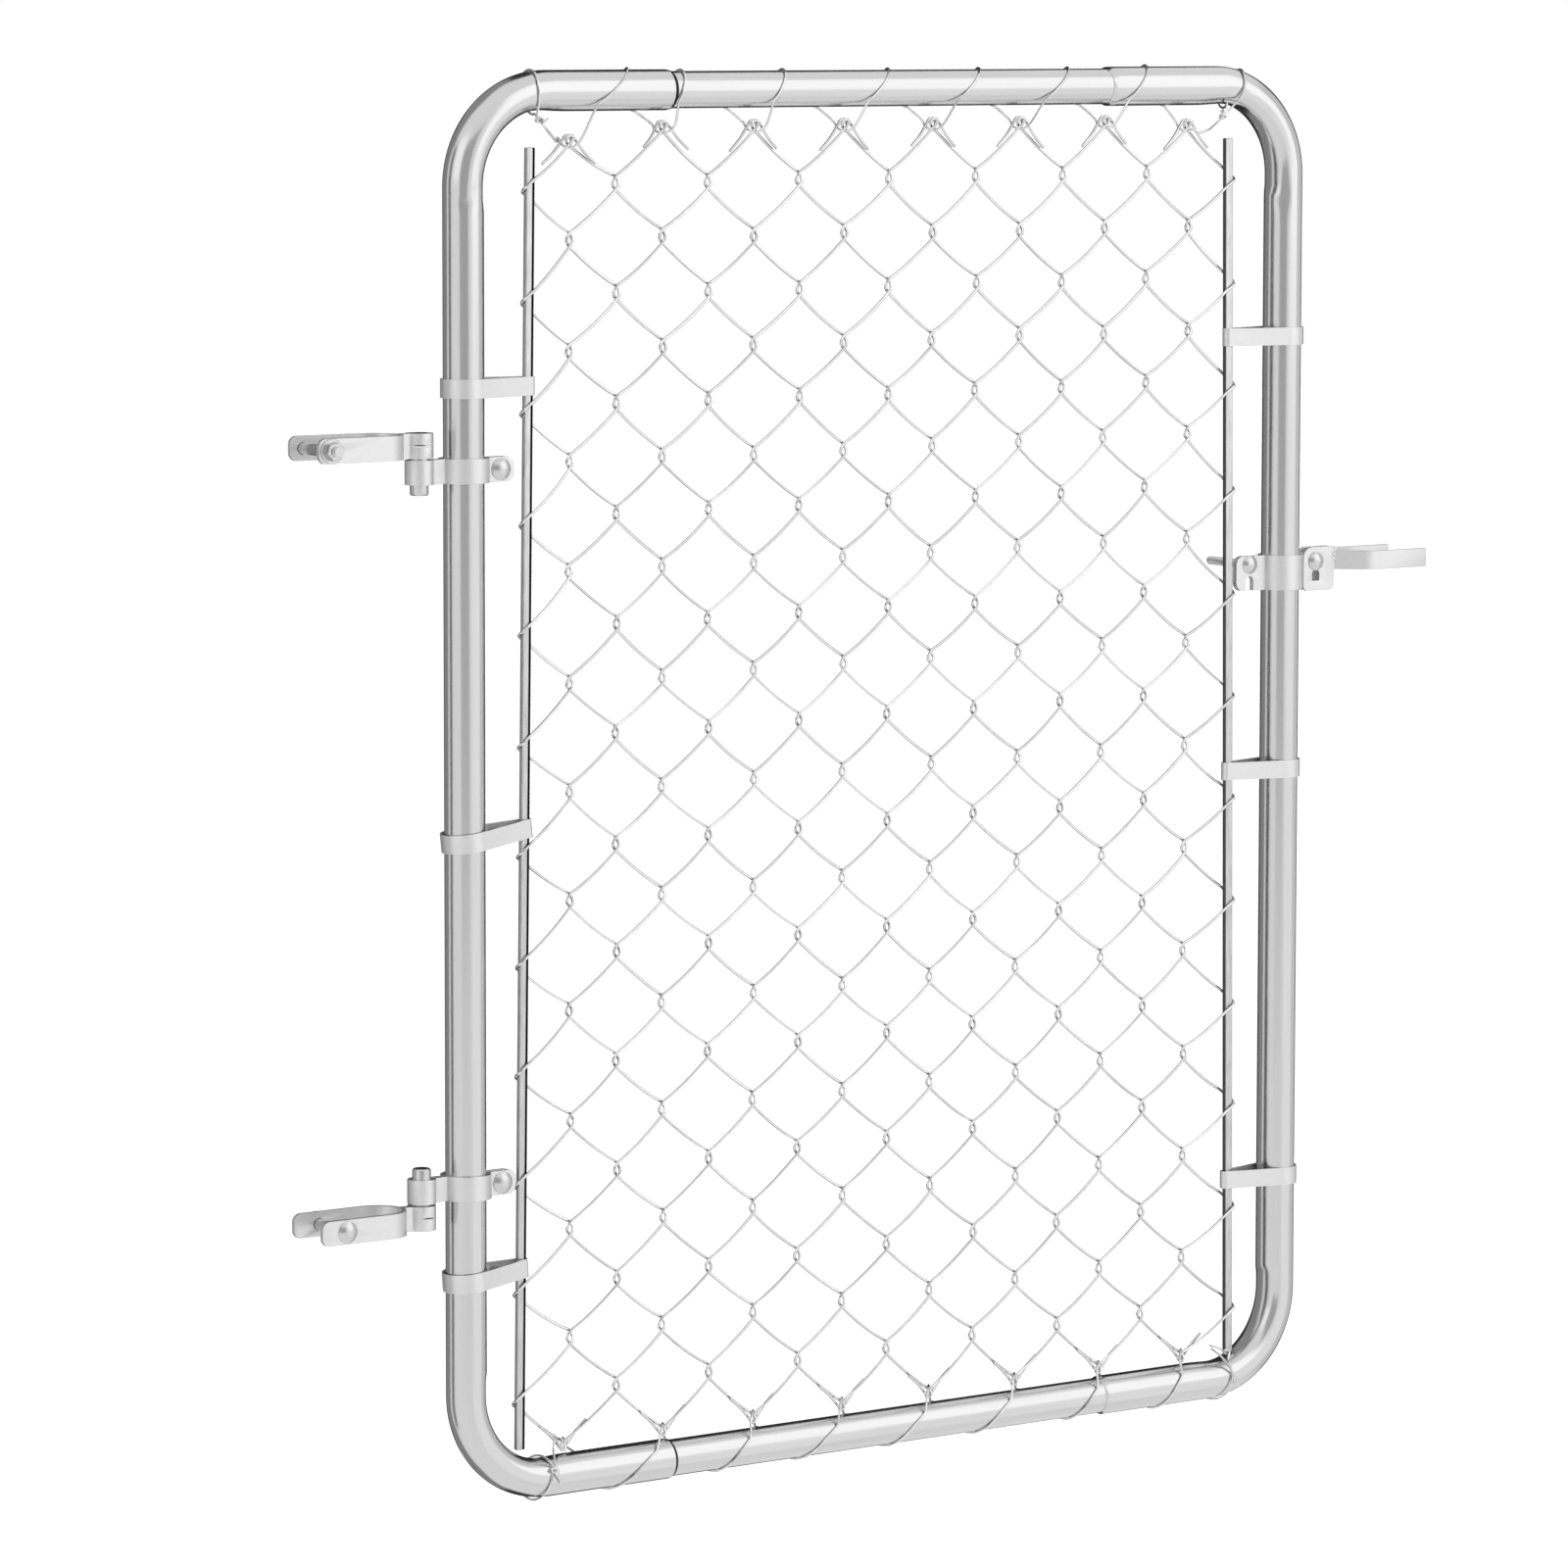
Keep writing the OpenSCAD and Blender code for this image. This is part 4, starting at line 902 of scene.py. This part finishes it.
class GATE_OT_stage(bpy.types.Operator):
    """Sets the floor, the soft light, the grey cards and the camera"""
    bl_idname = "gate.stage"
    bl_label = "Set the stage"

    def execute(self, context):
        scene = context.scene
        scene.view_settings.view_transform = "Standard"
        white_world(scene)
        floor()
        camera(scene)
        lamps(scene)
        return {"FINISHED"}


def white_world(scene):
    """An even pale surround: white where it is seen or mirrored, softer as light."""
    world = bpy.data.worlds.new("studio_surround")
    scene.world = world
    world.use_nodes = True
    nodes, links = world.node_tree.nodes, world.node_tree.links
    nodes.clear()
    path = add(nodes, links, "ShaderNodeLightPath")
    seen = add(nodes, links, "ShaderNodeMath", {"operation": "ADD"}, i0=path.outputs["Is Camera Ray"], i1=path.outputs["Is Glossy Ray"])
    shown = add(nodes, links, "ShaderNodeMath", {"operation": "ADD", "use_clamp": True}, i0=seen.outputs[0], i1=path.outputs["Is Transmission Ray"])
    level = add(nodes, links, "ShaderNodeMapRange", Value=shown.outputs[0], To_Min=0.55, To_Max=1.0)
    back = add(nodes, links, "ShaderNodeBackground", Color=(1, 1, 1, 1), Strength=level.outputs["Result"])
    add(nodes, links, "ShaderNodeOutputWorld", Surface=back.outputs[0])


def floor():
    """A plain pale floor, white to the eye but for the gate's soft shadow."""
    bm = bmesh.new()
    bmesh.ops.create_grid(bm, x_segments=1, y_segments=1, size=14.0)
    bmesh.ops.translate(bm, verts=bm.verts, vec=(0.5, 0, -0.36))
    piece = finish_piece("floor", bm)
    material = bpy.data.materials.new("white_paper_floor")
    material.use_nodes = True
    nodes, links = material.node_tree.nodes, material.node_tree.links
    nodes.clear()
    path = add(nodes, links, "ShaderNodeLightPath")
    seen = add(nodes, links, "ShaderNodeMath", {"operation": "ADD"}, i0=path.outputs["Is Camera Ray"], i1=path.outputs["Is Glossy Ray"])
    shown = add(nodes, links, "ShaderNodeMath", {"operation": "ADD", "use_clamp": True}, i0=seen.outputs[0], i1=path.outputs["Is Transmission Ray"])
    paper = add(nodes, links, "ShaderNodeBsdfDiffuse", Color=linear("#f4f4f4"))
    glow = add(nodes, links, "ShaderNodeEmission", Color=(1, 1, 1, 1), Strength=0.62)
    both = add(nodes, links, "ShaderNodeAddShader", i0=paper.outputs[0], i1=glow.outputs[0])
    pick = add(nodes, links, "ShaderNodeMixShader", Fac=shown.outputs[0], i1=paper.outputs[0], i2=both.outputs[0])
    add(nodes, links, "ShaderNodeOutputMaterial", Surface=pick.outputs[0])
    piece.data.materials.append(material)
    piece.visible_glossy = False


def card(name, centre, target, width, height, level):
    """A grey card that only mirrors see."""
    bm = bmesh.new()
    bmesh.ops.create_grid(bm, x_segments=1, y_segments=1, size=0.5)
    bmesh.ops.scale(bm, verts=bm.verts, vec=(width, height, 1))
    aim = (Vector(target) - Vector(centre)).to_track_quat("Z", "Y").to_matrix().to_4x4()
    bmesh.ops.transform(bm, matrix=Matrix.Translation(centre) @ aim, verts=bm.verts)
    piece = finish_piece(name, bm)
    material = bpy.data.materials.new(name + "_paper")
    material.use_nodes = True
    nodes, links = material.node_tree.nodes, material.node_tree.links
    nodes.clear()
    glow = add(nodes, links, "ShaderNodeEmission", Color=(1, 1, 1, 1), Strength=level)
    add(nodes, links, "ShaderNodeOutputMaterial", Surface=glow.outputs[0])
    piece.data.materials.append(material)
    piece.visible_camera = False
    piece.visible_diffuse = False
    piece.visible_shadow = False
    piece.visible_transmission = False


# Grey cards round the gate that only its gloss sees: from and to angle, foot, top and level
CARD_FAR = 6.0
CARDS = (
    ("left_far_card", -145, -97, -4, 4, 0.30),
    ("left_line_card", -84, -69, -4, 4, 0.14),
    ("front_card", -20, 27, -0.45, 4, 0.50),
    ("right_light_card", 40, 96, -4, 0.6, 1.14),
    ("right_far_card", 97, 140, -4, 4, 0.80),
    ("back_card", 140, 215, -4, 4, 0.02),
    ("upper_back_card", 166, 198, 4, 18, 0.02),
    ("upper_left_card", 198, 268, 4, 18, 0.34),
    ("lower_back_card", 170, 198, -18, -4, 0.02),
    ("lower_left_card", 198, 268, -18, -4, 0.30),
)


def compass(angle, distance, z):
    """A point at an angle round the gate: 0 is the camera's side, positive to its right."""
    a = math.radians(214 - angle)
    return (0.54 + distance * math.sin(a), 0.02 + distance * math.cos(a), z)


def camera(scene):
    """The photograph's view, from the hinge side and a little above the gate's top."""
    data = bpy.data.cameras.new("camera")
    data.sensor_width = 36
    data.lens = 36 * 6904.6 / 1600
    data.shift_x = -0.0136
    data.shift_y = -0.1056
    data.clip_end = 60
    eye = bpy.data.objects.new("camera", data)
    scene.collection.objects.link(eye)
    yaw, pitch, roll = (math.radians(v) for v in (34.956, 5.25, 0.1))
    ahead = Vector((math.sin(yaw) * math.cos(pitch), math.cos(yaw) * math.cos(pitch), -math.sin(pitch)))
    right = Vector((math.cos(yaw), -math.sin(yaw), 0))
    up = right.cross(ahead)
    right, up = right * math.cos(roll) + up * math.sin(roll), up * math.cos(roll) - right * math.sin(roll)
    turn = Matrix((right, up, -ahead)).transposed().to_4x4()
    eye.matrix_world = Matrix.Translation((-2.9099, -4.7857, 1.0262)) @ turn
    scene.camera = eye


def lamps(scene):
    """Two broad soft boxes and the cards that draw the tubes' darker bands."""
    for name, angle, distance, z, size, power in (
        ("key_box", 70, 3.6, 2.2, 3.7, 22),
        ("fill_box", -40, 3.8, 2.2, 2.4, 6),
    ):
        data = bpy.data.lights.new(name, "AREA")
        data.shape = "SQUARE"
        data.size = size
        data.energy = power
        lamp = bpy.data.objects.new(name, data)
        scene.collection.objects.link(lamp)
        place = Vector(compass(angle, distance, z))
        aim = Vector((0.54, 0.02, 0.35)) - place
        lamp.matrix_world = Matrix.Translation(place) @ aim.to_track_quat("-Z", "Y").to_matrix().to_4x4()
    for name, first, last, foot, top, level in CARDS:
        middle = (foot + top) / 2
        card(name, compass((first + last) / 2, CARD_FAR, middle), (0.54, 0.02, middle),
             2 * CARD_FAR * math.tan(math.radians(last - first) / 2), top - foot, level)


class GATE_PT_panel(bpy.types.Panel):
    """Lists the steps that dress the gate"""
    bl_idname = "GATE_PT_panel"
    bl_label = "Chain link walk gate"
    bl_space_type = "VIEW_3D"
    bl_region_type = "UI"
    bl_category = "Gate"

    def draw(self, context):
        for name in STEPS:
            self.layout.operator(name)
        for group in (context.scene.gate_wire, context.scene.gate_steel):
            for prop in group.bl_rna.properties:
                if prop.identifier not in ("rna_type", "name"):
                    self.layout.prop(group, prop.identifier)


STEPS = ("gate.tubes", "gate.joints", "gate.bars", "gate.straps", "gate.fabric", "gate.lacing", "gate.bolts", "gate.stage")
CLASSES = (GateWireSettings, GateSteelSettings, GATE_OT_tubes, GATE_OT_joints, GATE_OT_bars, GATE_OT_straps, GATE_OT_fabric,
           GATE_OT_lacing, GATE_OT_bolts, GATE_OT_stage, GATE_PT_panel)


def register():
    for cls in CLASSES:
        bpy.utils.register_class(cls)
    bpy.types.Scene.gate_wire = bpy.props.PointerProperty(type=GateWireSettings)
    bpy.types.Scene.gate_steel = bpy.props.PointerProperty(type=GateSteelSettings)


def unregister():
    del bpy.types.Scene.gate_steel
    del bpy.types.Scene.gate_wire
    for cls in reversed(CLASSES):
        bpy.utils.unregister_class(cls)


def main():
    """Dresses the gate step by step."""
    register()
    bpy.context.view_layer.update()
    for name in STEPS:
        group, step = name.split(".")
        getattr(getattr(bpy.ops, group), step)()


if __name__ == "__main__":
    main()
